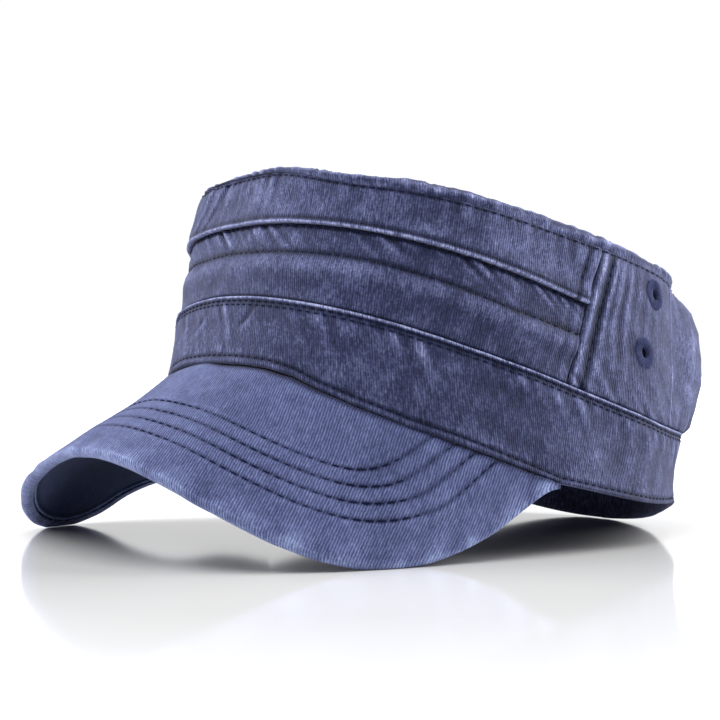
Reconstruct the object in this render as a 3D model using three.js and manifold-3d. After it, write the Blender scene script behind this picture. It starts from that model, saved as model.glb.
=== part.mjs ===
// A soft, flat-topped cloth cap with a curved peak, set down on a flat surface.
// Millimetres, +Z up. The peak points to -Y and the wearer's left is +X.
//
// The cap is drawn in its own upright frame, with the band's lower edge in the plane z = 0, and is
// then laid down as it stands by itself: on the two lobes of its peak and the rear of its band.
// Angles go round the head: 0 is the front, 90 the wearer's left and 180 the rear.

import * as THREE from "three";
import { mergeVertices } from "three/addons/utils/BufferGeometryUtils.js";
import Module from "manifold-3d";

const wasm = await Module();
wasm.setup();

// Head opening and crown, each over the outer face of the cloth.
const bandLength = 198.0;
const bandWidth = 174.0;
const bandSquareness = 2.2;
const topLength = 173.0;
const topWidth = 147.0;
const topSquareness = 2.8;
const topForward = 7.0;
const crownHeightFront = 85.9;
const crownHeightRear = 81.5;
const crownDome = 3.5;
const rearSag = 4.0;
const cornerSlump = 7.0;

// Heights of the seams above the band's lower edge, the fold's as shares of the crown's height.
const bandTopFront = 46.9;
const bandTopSide = 32.0;
const bandTopRear = 27.0;
const foldShareFront = 0.8345;
const foldShareSide = 0.745;

// Places of the seams round the head, in degrees.
const sideSeamTop = 97.9;
const sideSeamBottom = 77.4;
const rearSeamTop = 128.0;
const rearSeamBottom = 117.0;

// Cloth and seams.
const wallThickness = 2.0;
const topThickness = 1.8;
const seamGap = 0.3;
const bandLip = 0.9;
const bandTuck = 4.5;
const foldLip = 1.2;
const foldReach = 9.0;
const tuckDepth = 1.1;
const rollDrop = 16.0;
const rollWidth = 5.0;
const tuckWidth = 4.0;
const rearBulge = 12.0;
const edgeStripWall = 3.2;
const edgeStripTop = 6.4;
const edgeStripRaise = 1.5;

// Peak: a sheet bent round a slanted axis.
const peakSlope = 39.9;
const peakCornerTurn = 80.0;
const peakReach = 52.5;
const peakSquareness = 3.03;
const rightLobeSquareness = 5.4;
const peakSeamRise = 23.6;
const peakCornerAngle = 83.8;
const peakCover = 1.2;
const peakLining = 0.9;
const peakEdgeTurn = 4.2;
const peakLayerGap = 0.95;
const peakSeatGap = 0.5;
const peakDraw = 19.5;
const rightLobeEase = 0.33;

// Eyelets.
const eyeletWidth = 11.0;
const eyeletHole = 3.2;
const eyeletRise = 0.9;
const eyeletBarrel = 0.8;
const eyelets = [
  { name: "upper", angle: 115.8, share: 0.894 },
  { name: "lower", angle: 110.0, share: 0.624 },
];

// How far the cloth gives where the cap stands on it.
const standGive = 0.5;

// Fineness of the solids.
const roundSteps = 72;
const peakSteps = 40;

const radians = THREE.MathUtils.degToRad;
const lerp = THREE.MathUtils.lerp;
const clamp = THREE.MathUtils.clamp;
const smoothstep = THREE.MathUtils.smoothstep;
const range = (count) => Array.from({ length: count + 1 }, (_, i) => i / count);

// Value at x of a table of [x, value] rows, straight between rows.
function readTable(rows, x) {
  const last = rows.length - 1;
  if (x <= rows[0][0]) return rows[0][1];
  if (x >= rows[last][0]) return rows[last][1];
  const i = rows.findIndex((row) => row[0] >= x);
  const [x0, v0] = rows[i - 1];
  const [x1, v1] = rows[i];
  return lerp(v0, v1, (x - x0) / (x1 - x0));
}

// The side wall. Its section is a squarish oval that changes from the band to the crown's top.
function wallHeight(angle) {
  return lerp(crownHeightRear, crownHeightFront, (1 + Math.cos(angle)) / 2);
}

// Share of the slump at the right front corner of the crown, where the cloth has fallen in.
function slump(angle, share) {
  let away = THREE.MathUtils.radToDeg(angle) + 52;
  away -= 360 * Math.round(away / 360);
  return Math.exp(-((away / 27) ** 2)) * smoothstep(share, 0.76, 1);
}

// Point of the wall's outer face at a height, moved outward by out.
function wallPoint(angle, height, out = 0) {
  const share = height / wallHeight(angle);
  const a = lerp(bandLength, topLength, share) / 2;
  const b = lerp(bandWidth, topWidth, share) / 2;
  const n = lerp(bandSquareness, topSquareness, share);
  const c = Math.cos(angle);
  const s = Math.sin(angle);
  const reach = (Math.abs(c) ** n + Math.abs(s) ** n) ** (-1 / n);
  const x = b * s * reach;
  const y = -a * c * reach;
  const normal = new THREE.Vector2(
    (Math.sign(x) * Math.abs(x / b) ** (n - 1)) / b,
    (Math.sign(y) * Math.abs(y / a) ** (n - 1)) / a,
  ).normalize();
  const tuck = bandTuck * (1 - smoothstep(height, 0, bandTopRear)) * smoothstep(-c, 0.2, 0.8);
  const move = out - tuck - cornerSlump * slump(angle, share);
  const drop = 0.7 * cornerSlump * slump(angle, share);
  return new THREE.Vector3(x + normal.x * move, y - topForward * share + normal.y * move, height - drop);
}

function bandTop(angle) {
  const ends = (bandTopFront + bandTopRear) / 2;
  const lean = (bandTopFront - bandTopRear) / 2;
  return ends + lean * Math.cos(angle) + (ends - bandTopSide) * (Math.cos(2 * angle) - 1) / 2;
}

function foldHeight(angle) {
  return wallHeight(angle) * lerp(foldShareSide, foldShareFront, Math.cos(angle));
}

const sideSeam = (share) => radians(lerp(sideSeamBottom, sideSeamTop, share));
const rearSeam = (share) => radians(lerp(rearSeamBottom, rearSeamTop, share));
const panelTop = (angle) => wallHeight(angle) - edgeStripWall - seamGap;

// A solid through a row of sections. Each section lists its outer points and then as many inner
// points in the reverse order. The ends are filled, or joined to each other when closed is true.
function loft(sections, closed) {
  const around = sections[0].length;
  const positions = sections.flat().flatMap((point) => point.toArray());
  const faces = [];
  const quad = (a, b, c, d) => faces.push(a, b, c, a, c, d);
  const spans = closed ? sections.length : sections.length - 1;
  for (let i = 0; i < spans; i++) {
    const here = i * around;
    const next = ((i + 1) % sections.length) * around;
    for (let j = 0; j < around; j++) {
      const k = (j + 1) % around;
      quad(here + j, here + k, next + k, next + j);
    }
  }
  if (!closed) {
    const end = (sections.length - 1) * around;
    for (let j = 0; j < around / 2 - 1; j++) {
      const k = around - 1 - j;
      quad(j, k, k - 1, j + 1);
      quad(end + j, end + j + 1, end + k - 1, end + k);
    }
  }
  return closedGeometry(positions, faces);
}

// A geometry with its faces turned outward.
function closedGeometry(positions, faces) {
  const corner = (i) => new THREE.Vector3().fromArray(positions, 3 * i);
  let volume = 0;
  for (let i = 0; i < faces.length; i += 3) {
    volume += corner(faces[i]).dot(corner(faces[i + 1]).cross(corner(faces[i + 2])));
  }
  if (volume < 0) {
    for (let i = 0; i < faces.length; i += 3) [faces[i], faces[i + 1]] = [faces[i + 1], faces[i]];
  }
  const geometry = new THREE.BufferGeometry();
  geometry.setAttribute("position", new THREE.Float32BufferAttribute(positions, 3));
  geometry.setIndex(faces);
  return geometry;
}

function toSolid(geometry) {
  const bare = geometry.clone();
  bare.deleteAttribute("normal");
  bare.deleteAttribute("uv");
  const merged = mergeVertices(bare, 1e-5);
  return new wasm.Manifold(new wasm.Mesh({
    numProp: 3,
    vertProperties: new Float32Array(merged.attributes.position.array),
    triVerts: new Uint32Array(merged.index.array),
  }));
}

function cut(geometry, tools) {
  const left = tools.reduce((solid, tool) => solid.subtract(toSolid(tool)), toSolid(geometry));
  const mesh = left.getMesh();
  const result = new THREE.BufferGeometry();
  result.setAttribute("position", new THREE.Float32BufferAttribute(mesh.vertProperties, 3));
  result.setIndex([...mesh.triVerts]);
  return result;
}

// A curved sheet of the wall between two seams and two heights. from and to give an angle at a
// share of the wall's height, low and high a height at an angle, and out the outer face's offset
// at an angle and a share of the sheet's own height.
function wallPanel({ from, to, low, high, out, columns, rows }) {
  const sections = range(columns).map((across) => {
    const outer = [];
    const inner = [];
    for (const up of rows) {
      let angle = lerp(from(0.5), to(0.5), across);
      let height = 0;
      for (let i = 0; i < 4; i++) {
        height = lerp(low(angle), high(angle), up);
        const share = height / wallHeight(angle);
        angle = lerp(from(share), to(share), across);
      }
      const offset = out(angle, up, across, height);
      outer.push(wallPoint(angle, height, offset));
      inner.unshift(wallPoint(angle, height, offset - wallThickness));
    }
    return [...outer, ...inner];
  });
  return loft(sections, false);
}

// Half the gap at a seam, as an angle on the band's oval.
const halfSeam = seamGap / 2 / (topWidth / 2);

// The front wall above the fold: its lower edge stands out as a lip and fades into the wall.
function frontUpperPanel() {
  return wallPanel({
    from: (share) => -sideSeam(share) + halfSeam,
    to: (share) => sideSeam(share) - halfSeam,
    low: (angle) => foldHeight(angle) + seamGap / 2,
    high: panelTop,
    out: (angle, up, across, height) => foldLip * (1 - smoothstep(height - foldHeight(angle), 0, foldReach)),
    columns: 44,
    rows: [0, 0.12, 0.4, 0.75, 1],
  });
}

// The front wall under the fold: tucked in at its top, with a soft roll above the band.
function frontLowerPanel() {
  return wallPanel({
    from: (share) => -sideSeam(share) + halfSeam,
    to: (share) => sideSeam(share) - halfSeam,
    low: (angle) => bandTop(angle) + seamGap,
    high: (angle) => foldHeight(angle) - seamGap / 2,
    out: (angle, up, across, height) => {
      const below = foldHeight(angle) - height;
      const roll = Math.exp(-(((below - rollDrop) / rollWidth) ** 2));
      return tuckDepth * (roll - 0.4 * Math.exp(-((below / tuckWidth) ** 2)));
    },
    columns: 44,
    rows: [0, 0.25, 0.5, 0.75, 1],
  });
}

// side is 1 for the wearer's left and -1 for the right.
function sidePanel(side) {
  const panel = wallPanel({
    from: (share) => side * (sideSeam(share) + halfSeam),
    to: (share) => side * (rearSeam(share) - halfSeam),
    low: (angle) => bandTop(angle) + seamGap,
    high: panelTop,
    out: () => 0,
    columns: 10,
    rows: [0, 0.3, 0.6, 0.85, 1],
  });
  return cut(panel, eyelets.map((eyelet) => {
    const radius = eyeletHole / 2 + eyeletBarrel + seamGap;
    const tool = new THREE.CylinderGeometry(radius, radius, 6 * wallThickness, 16);
    tool.rotateX(Math.PI / 2);
    return tool.applyMatrix4(eyeletPlace(eyelet, side));
  }));
}

// Where an eyelet sits: +Z of the matrix is the wall's outward normal.
function eyeletPlace({ angle, share }, side) {
  const turn = side * radians(angle);
  const height = share * wallHeight(turn);
  const centre = wallPoint(turn, height);
  const along = wallPoint(turn + 0.01, height).sub(wallPoint(turn - 0.01, height)).normalize();
  const up = wallPoint(turn, height + 1).sub(wallPoint(turn, height - 1)).normalize();
  const normal = new THREE.Vector3().crossVectors(along, up).normalize();
  const across = new THREE.Vector3().crossVectors(up, normal);
  return new THREE.Matrix4().makeBasis(across, up, normal).setPosition(centre);
}

// An embroidered ring: a rounded flange on the wall and a barrel of thread through it.
function eyeletRing(eyelet, side) {
  const hole = eyeletHole / 2;
  const barrel = hole + eyeletBarrel;
  const rim = eyeletWidth / 2;
  const seat = seamGap + 0.15;
  const profile = [
    [hole, -wallThickness],
    [barrel, -wallThickness],
    [barrel, seat],
    [rim - 0.2, seat],
    [rim, seat + 0.35 * eyeletRise],
    [lerp(hole, rim, 0.8), seat + 0.85 * eyeletRise],
    [lerp(hole, rim, 0.4), seat + eyeletRise],
    [hole + 0.3, seat + 0.8 * eyeletRise],
    [hole, seat + 0.3 * eyeletRise],
    [hole, -wallThickness],
  ].map(([radius, height]) => new THREE.Vector2(radius, height));
  const ring = new THREE.LatheGeometry(profile, 16);
  ring.rotateX(Math.PI / 2);
  const merged = mergeVertices(stripped(ring), 1e-4);
  merged.applyMatrix4(eyeletPlace(eyelet, side));
  return closedGeometry([...merged.attributes.position.array], [...merged.index.array]);
}

function stripped(geometry) {
  geometry.deleteAttribute("normal");
  geometry.deleteAttribute("uv");
  return geometry;
}

// Section of the rear panel's bulge, from the band up: share of the panel's height, share of rearBulge.
const bulgeSection = [
  [0.0, 0.42],
  [0.05, 0.62],
  [0.2, 0.75],
  [0.4, 0.94],
  [0.6, 1.0],
  [0.78, 0.96],
  [0.9, 0.74],
  [0.96, 0.45],
  [1.0, 0.1],
];

// The rear wall, pushed out and hanging over the band.
function rearPanel() {
  return wallPanel({
    from: (share) => rearSeam(share) + halfSeam,
    to: (share) => 2 * Math.PI - rearSeam(share) - halfSeam,
    low: (angle) => bandTop(angle) + seamGap,
    high: panelTop,
    out: (angle, up, across) => {
      const side = Math.min(across, 1 - across);
      return rearBulge * readTable(bulgeSection, up) * smoothstep(side, 0, 0.16);
    },
    columns: 30,
    rows: [0, 0.05, 0.2, 0.4, 0.6, 0.78, 0.9, 0.96, 1],
  });
}

// The peak. Its sheet is bent so that it has turned by peakCornerTurn where it reaches the band's
// corners. u runs across it along the bent sheet, v down its slope.
const slope = radians(peakSlope);
const cornerPlan = wallPoint(radians(peakCornerAngle), 0);
const bendRadius = cornerPlan.x / Math.sin(radians(peakCornerTurn));

// Section of the sheet at u, moved outward by lift: the way across and the drop below the crest.
function bend(u, lift = 0, radius = bendRadius) {
  return {
    across: (radius + lift) * Math.sin(u / radius),
    drop: (radius + lift) * Math.cos(u / radius) - radius,
  };
}

// The sheet's u and v over a place in plan.
function sheetOver(x, y) {
  const u = bendRadius * Math.asin(clamp(x / bendRadius, -1, 1));
  const v = (-y - bend(u).drop * Math.sin(slope)) / Math.cos(slope);
  return { u, v };
}

// The sheet is hung so that it meets the band's lower edge at the peak's corners.
const cornerSheet = sheetOver(cornerPlan.x, cornerPlan.y);
const sheetBase = cornerSheet.v * Math.sin(slope) - bend(cornerSheet.u).drop * Math.cos(slope);

function sheetPoint(u, v, lift, radius) {
  const { across, drop } = bend(u, lift, radius);
  return new THREE.Vector3(
    across,
    -v * Math.cos(slope) - drop * Math.sin(slope),
    sheetBase - v * Math.sin(slope) + drop * Math.cos(slope),
  );
}

// The seam between band and peak, from the front to the peak's corner: share of the corner's angle,
// share of peakSeamRise.
const seamRise = [
  [0.0, 1.0],
  [0.15, 0.98],
  [0.25, 0.937],
  [0.33, 0.853],
  [0.4, 0.708],
  [0.5, 0.547],
  [0.62, 0.375],
  [0.72, 0.275],
  [0.84, 0.15],
  [1.0, 0.0],
];

function peakSeam(angle) {
  return peakSeamRise * readTable(seamRise, Math.abs(angle) / radians(peakCornerAngle));
}

// Outer outline of the peak on the sheet, as evenly spaced u and v, from the right corner to the left.
const crestStart = sheetOver(0, wallPoint(0, 0).y).v;
const peakDepth = crestStart + peakReach - cornerSheet.v;
const peakHalfWidth = cornerSheet.u;

function outlinePoints(count) {
  const dense = range(400).map((share) => {
    const t = lerp(-Math.PI / 2, Math.PI / 2, share);
    const power = 2 / (t < 0 ? rightLobeSquareness : peakSquareness);
    const sine = Math.sin(t);
    return new THREE.Vector2(
      peakHalfWidth * Math.sign(sine) * Math.abs(sine) ** power,
      cornerSheet.v + peakDepth * Math.abs(Math.cos(t)) ** power,
    );
  });
  const lengths = [0];
  for (let i = 1; i < dense.length; i++) lengths.push(lengths[i - 1] + dense[i].distanceTo(dense[i - 1]));
  const full = lengths[lengths.length - 1];
  return range(count).map((share) => {
    const target = share * full;
    const i = clamp(lengths.findIndex((length) => length >= target), 1, dense.length - 1);
    const part = (target - lengths[i - 1]) / (lengths[i] - lengths[i - 1]);
    return dense[i - 1].clone().lerp(dense[i], part);
  });
}

// Rays from the band to the outline, one for each station across the peak. seat is the seam under
// the band's inner face, foot the seam under its outer face, and start the foot on the sheet.
const peakRays = (() => {
  const outline = outlinePoints(peakSteps + 2).slice(1, -1);
  return outline.map((outer, i) => {
    const angle = radians(peakCornerAngle) * lerp(-1, 1, (i + 1) / (peakSteps + 2));
    const plan = wallPoint(angle, 0);
    const { u, v } = sheetOver(plan.x, plan.y);
    const start = new THREE.Vector2(u, v);
    return {
      seat: wallPoint(angle, peakSeam(angle), -wallThickness),
      foot: wallPoint(angle, peakSeam(angle)),
      start,
      outer,
      length: start.distanceTo(outer),
    };
  });
})();

// Point of the peak on a ray, at a distance in from the outline and a depth below the top face.
// Near the band the sheet is drawn to the seam, and its layers lie under one another there. The
// right lobe bends less, more so toward its edge.
function peakPoint(ray, inset, depth) {
  const down = new THREE.Vector3(0, 0, -depth);
  if (inset > ray.length) return ray.seat.clone().add(down);
  const at = ray.start.clone().lerp(ray.outer, 1 - inset / ray.length);
  const away = ray.length - inset;
  const aside = smoothstep(-at.x / peakHalfWidth, 0, 0.6);
  const ease = rightLobeEase * aside * smoothstep(away / peakReach, 0, 0.8);
  const radius = bendRadius / (1 - ease);
  const top = sheetPoint(at.x, at.y, 0, radius);
  const hang = sheetPoint(at.x, at.y, -depth, radius).sub(top);
  const draw = ray.foot.clone().sub(sheetPoint(ray.start.x, ray.start.y));
  return top
    .add(draw.multiplyScalar(1 - smoothstep(away, 0, peakDraw)))
    .add(down.lerp(hang, smoothstep(away, 0, peakDraw)));
}

const peakThickness = peakCover + peakLining + 2 * peakLayerGap;

// Distances in from the outline: under the band, at its foot, and on to where the edge turns under.
function peakInsets({ length }) {
  const turn = Math.min(peakEdgeTurn, 0.6 * length);
  const open = [1, 0.8, 0.6, 0.4, 0.2, 0].map((share) => lerp(turn, length, share));
  return [length + wallThickness, ...open];
}

// The upper cloth, with its rolled edge turned under.
function peakCoverSheet() {
  const round = peakThickness / 2;
  return loft(peakRays.map((ray) => {
    const insets = peakInsets(ray);
    const step = insets[insets.length - 1] - 0.05;
    const roll = [[Math.min(round, step), 0], [0.3 * round, 0.3 * round], [0, 0.8 * round]];
    const top = [...insets.map((inset) => [inset, 0]), ...roll];
    const under = [
      ...insets.map((inset) => [inset, peakCover]),
      [step, peakThickness],
      ...roll.slice(1).map(([inset, depth]) => [inset, peakThickness - depth]),
    ];
    const outer = top.map(([inset, depth]) => peakPoint(ray, inset, depth));
    const inner = under.map(([inset, depth]) => peakPoint(ray, inset, depth)).reverse();
    return [...outer, ...inner];
  }), false);
}

// The cloth under the peak, set in from the rolled edge.
function peakUnderSheet() {
  const upper = peakCover + peakLayerGap;
  return loft(peakRays.filter((ray) => ray.length > 3 * peakEdgeTurn).map((ray) => {
    const insets = peakInsets(ray);
    insets[insets.length - 1] += seamGap;
    const outer = insets.map((inset) => peakPoint(ray, inset, upper));
    const inner = insets.map((inset) => peakPoint(ray, inset, upper + peakLining)).reverse();
    return [...outer, ...inner];
  }), false);
}

// The band. In front its lower edge stands on the peak, elsewhere it ends at z = 0.
function headband() {
  const angles = range(roundSteps).slice(0, -1).map((share) => 2 * Math.PI * share - Math.PI);
  const low = (angle) => peakSeam(angle) + (Math.abs(angle) < radians(peakCornerAngle) ? peakSeatGap : 0);
  const rows = [0, 0.3, 0.7, 0.9, 1];
  return loft(angles.map((angle) => {
    const high = bandTop(angle);
    const lip = (up) => bandLip * smoothstep(up, 0.6, 0.92);
    const outer = rows.map((up) => wallPoint(angle, lerp(low(angle), high, up), lip(up)));
    const inner = rows.map((up) => wallPoint(angle, lerp(low(angle), high, up), -wallThickness)).reverse();
    return [...outer, ...inner];
  }), true);
}

// Section of the edge strip round the crown's top, as shares: in from the edge over edgeStripTop,
// down the wall over edgeStripWall (negative) or up over edgeStripRaise (positive), and cloth depth.
const edgeSection = [
  { inward: 0.0, upward: -1.0, depth: [1, 0] },
  { inward: -0.12, upward: -0.45, depth: [1, 0] },
  { inward: -0.1, upward: 0.35, depth: [0.9, -0.5] },
  { inward: 0.08, upward: 0.9, depth: [0.6, -0.9] },
  { inward: 0.35, upward: 1.0, depth: [0.1, -1] },
  { inward: 0.7, upward: 0.75, depth: [0, -1] },
  { inward: 1.0, upward: 0.3, depth: [0, -1] },
];

// Height of the crown's top above the wall's edge: a low dome that sags at the rear left.
function crownLift(angle, share) {
  const sag = Math.exp(-(((THREE.MathUtils.radToDeg(angle) - 150) / 45) ** 2)) * smoothstep(share, 0.2, 0.9);
  return crownDome * (1 - share ** 2) - rearSag * sag * (1 - share ** 4);
}

// Point in from the crown's edge, raised above the edge's height.
function edgePoint(angle, inward, raise) {
  const top = wallHeight(angle);
  const place = wallPoint(angle, top + Math.min(raise, 0), -inward);
  place.z += Math.max(raise, 0);
  return place;
}

function crownEdge() {
  const angles = range(roundSteps).slice(0, -1).map((share) => 2 * Math.PI * share - Math.PI);
  return loft(angles.map((angle) => {
    const place = ({ inward, upward, depth }, deep) => {
      const raise = upward * (upward < 0 ? edgeStripWall : edgeStripRaise);
      const into = inward * edgeStripTop + deep * depth[0] * topThickness;
      const point = edgePoint(angle, into, raise);
      point.z += deep * depth[1] * topThickness;
      return point;
    };
    const outer = edgeSection.map((row) => place(row, 0));
    const inner = edgeSection.map((row) => place(row, 1)).reverse();
    return [...outer, ...inner];
  }), true);
}

// The crown's top, from the edge strip's inner side to the middle.
function crownTop() {
  const steps = roundSteps / 2;
  const shares = [1, 0.85, 0.65, 0.4, 0.18];
  const face = (angle, share, depth) => {
    const rim = edgePoint(angle, edgeStripTop + seamGap, 0);
    const middle = new THREE.Vector3(0, -topForward, (crownHeightFront + crownHeightRear) / 2);
    const point = middle.lerp(rim, share);
    point.z += crownLift(angle, share) + 0.3 * edgeStripRaise - depth;
    return point;
  };
  const positions = [];
  for (const depth of [0, topThickness]) {
    for (const share of shares) {
      for (let i = 0; i < steps; i++) {
        positions.push(...face((2 * Math.PI * i) / steps, share, depth).toArray());
      }
    }
    positions.push(...face(0, 0, depth).toArray());
  }
  const layer = shares.length * steps + 1;
  const faces = [];
  for (let i = 0; i < steps; i++) {
    const k = (i + 1) % steps;
    for (let ring = 0; ring < shares.length - 1; ring++) {
      const here = ring * steps;
      const next = here + steps;
      faces.push(here + i, here + k, next + k, here + i, next + k, next + i);
      faces.push(layer + here + k, layer + here + i, layer + next + i);
      faces.push(layer + here + k, layer + next + i, layer + next + k);
    }
    const last = (shares.length - 1) * steps;
    faces.push(last + i, last + k, layer - 1);
    faces.push(layer + last + k, layer + last + i, 2 * layer - 1);
    faces.push(k, i, layer + i, k, layer + i, layer + k);
  }
  return closedGeometry(positions, faces);
}

// Colours of the washed cloth.
const crownCloth = { color: 0x555c86, roughness: 0.95, metalness: 0 };
const peakCloth = { color: 0x5a6a96, roughness: 0.92, metalness: 0 };
const underCloth = { color: 0x232c4c, roughness: 0.95, metalness: 0 };
const threadFinish = { color: 0x2b3152, roughness: 0.8, metalness: 0 };

const pieces = [
  { name: "crown_top", geometry: crownTop(), finish: crownCloth },
  { name: "crown_edge", geometry: crownEdge(), finish: crownCloth },
  { name: "front_upper_panel", geometry: frontUpperPanel(), finish: crownCloth },
  { name: "front_lower_panel", geometry: frontLowerPanel(), finish: crownCloth },
  { name: "side_panel_left", geometry: sidePanel(1), finish: crownCloth },
  { name: "side_panel_right", geometry: sidePanel(-1), finish: crownCloth },
  { name: "rear_panel", geometry: rearPanel(), finish: crownCloth },
  { name: "headband", geometry: headband(), finish: crownCloth },
  { name: "peak_cover", geometry: peakCoverSheet(), finish: peakCloth },
  { name: "peak_underside", geometry: peakUnderSheet(), finish: underCloth },
];
for (const [label, side] of [["left", 1], ["right", -1]]) {
  for (const eyelet of eyelets) {
    pieces.push({
      name: `eyelet_${label}_${eyelet.name}`,
      geometry: eyeletRing(eyelet, side),
      finish: threadFinish,
    });
  }
}

// Lay the cap down. It stands on three points: the lowest of each lobe of the peak and of the
// band's rear. Turning it level on them moves the points a little, so this is done a few times.
const named = (name) => pieces.find((piece) => piece.name === name).geometry;

function lowest(geometry, inside) {
  const position = geometry.attributes.position;
  let best = null;
  for (let i = 0; i < position.count; i++) {
    const point = new THREE.Vector3().fromBufferAttribute(position, i);
    if (inside(point) && (!best || point.z < best.z)) best = point;
  }
  return best;
}

for (let round = 0; round < 6; round++) {
  const left = lowest(named("peak_cover"), (point) => point.x > 0);
  const right = lowest(named("peak_cover"), (point) => point.x < 0);
  const rear = lowest(named("headband"), (point) => point.y > 0);
  const normal = left.clone().sub(rear).cross(right.clone().sub(rear)).normalize();
  if (normal.z < 0) normal.negate();
  const turn = new THREE.Quaternion().setFromUnitVectors(normal, new THREE.Vector3(0, 0, 1));
  const level = new THREE.Matrix4().makeRotationFromQuaternion(turn);
  for (const piece of pieces) piece.geometry.applyMatrix4(level);
}

// The foot is put on z = 0, the plan's middle on the origin, and the cloth that would go below is
// pressed flat.
const bounds = new THREE.Box3();
for (const piece of pieces) {
  piece.geometry.computeBoundingBox();
  bounds.union(piece.geometry.boundingBox);
}
const middle = bounds.getCenter(new THREE.Vector3());
for (const { geometry } of pieces) {
  geometry.translate(-middle.x, -middle.y, -bounds.min.z - standGive);
  const position = geometry.attributes.position;
  for (let i = 0; i < position.count; i++) position.setZ(i, Math.max(0, position.getZ(i)));
}

const cap = new THREE.Group();
for (const { name, geometry, finish } of pieces) {
  geometry.computeVertexNormals();
  const mesh = new THREE.Mesh(geometry, new THREE.MeshStandardMaterial(finish));
  mesh.name = name;
  cap.add(mesh);
}

export default cap;
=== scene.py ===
"""A soft, flat-topped cloth cap with a curved peak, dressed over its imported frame.

Shapes are drawn in millimetres in the cap's own upright frame, where the peak points to -Y, the
wearer's left is +X and the band's lower edge is at height 0. They are then laid down on the floor
in the frame's place and written in metres.
"""
import logging
import math
from collections.abc import Callable, Sequence
from dataclasses import dataclass, field
from enum import Enum

import bpy
import numpy as np
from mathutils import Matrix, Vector


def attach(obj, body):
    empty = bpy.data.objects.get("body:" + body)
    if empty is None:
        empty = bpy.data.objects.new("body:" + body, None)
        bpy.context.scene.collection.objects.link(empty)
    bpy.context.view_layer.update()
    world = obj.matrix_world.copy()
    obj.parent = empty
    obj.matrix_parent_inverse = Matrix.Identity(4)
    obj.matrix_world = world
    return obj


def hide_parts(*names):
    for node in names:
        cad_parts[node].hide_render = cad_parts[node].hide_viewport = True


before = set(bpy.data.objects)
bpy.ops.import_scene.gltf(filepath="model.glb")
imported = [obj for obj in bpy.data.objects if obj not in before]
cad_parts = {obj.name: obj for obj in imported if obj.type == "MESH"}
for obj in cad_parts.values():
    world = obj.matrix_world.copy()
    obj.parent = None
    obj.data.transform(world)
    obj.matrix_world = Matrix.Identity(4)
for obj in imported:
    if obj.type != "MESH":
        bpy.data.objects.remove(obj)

log = logging.getLogger("cap")
Array = np.ndarray
Lay = Callable[[Array], Array]
Material = bpy.types.Material
Socket = bpy.types.NodeSocket
Thing = bpy.types.Object
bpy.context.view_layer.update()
MM = 0.001
EDGE_ROUND = 0.9
LIP_PITCH = 3.3
CROWN_RADIUS = 84.0
BAND_RADIUS = 88.0
SIDE_RADIUS = 80.0
REST_TURN = (
    (0.9997968, 0.0027482, -0.0199720),
    (0.0013407, 0.9794091, 0.2018813),
    (0.0201156, -0.2018671, 0.9792063),
)
REST_PLACE = (8.5151, 15.6722, 18.6828)


def lerp(start: Array, end: Array, share: Array) -> Array:
    """The value a share of the way from start to end."""
    return start + (end - start) * share


def smoothstep(value: Array, low: float, high: float) -> Array:
    """Eases from 0 at low to 1 at high."""
    t = np.clip((value - low) / (high - low), 0.0, 1.0)
    return t * t * (3.0 - 2.0 * t)


def bell(distance: Array, width: float) -> Array:
    """A rounded bump of height 1 at distance 0."""
    return np.exp(-((distance / width) ** 2))


def rounding(near: Array) -> Array:
    """How far a cloth's edge is rounded off, at distances in from it."""
    return EDGE_ROUND - np.sqrt(EDGE_ROUND ** 2 - (EDGE_ROUND - np.minimum(near, EDGE_ROUND)) ** 2)


def lip_cord(angle: Array, radius: float, drop: Array) -> Array:
    """Swelling of a rolled lip between its stitches, about 1."""
    return 1 + 0.18 * np.sin(angle * radius * 2 * math.pi / LIP_PITCH + drop * 1.2)


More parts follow.
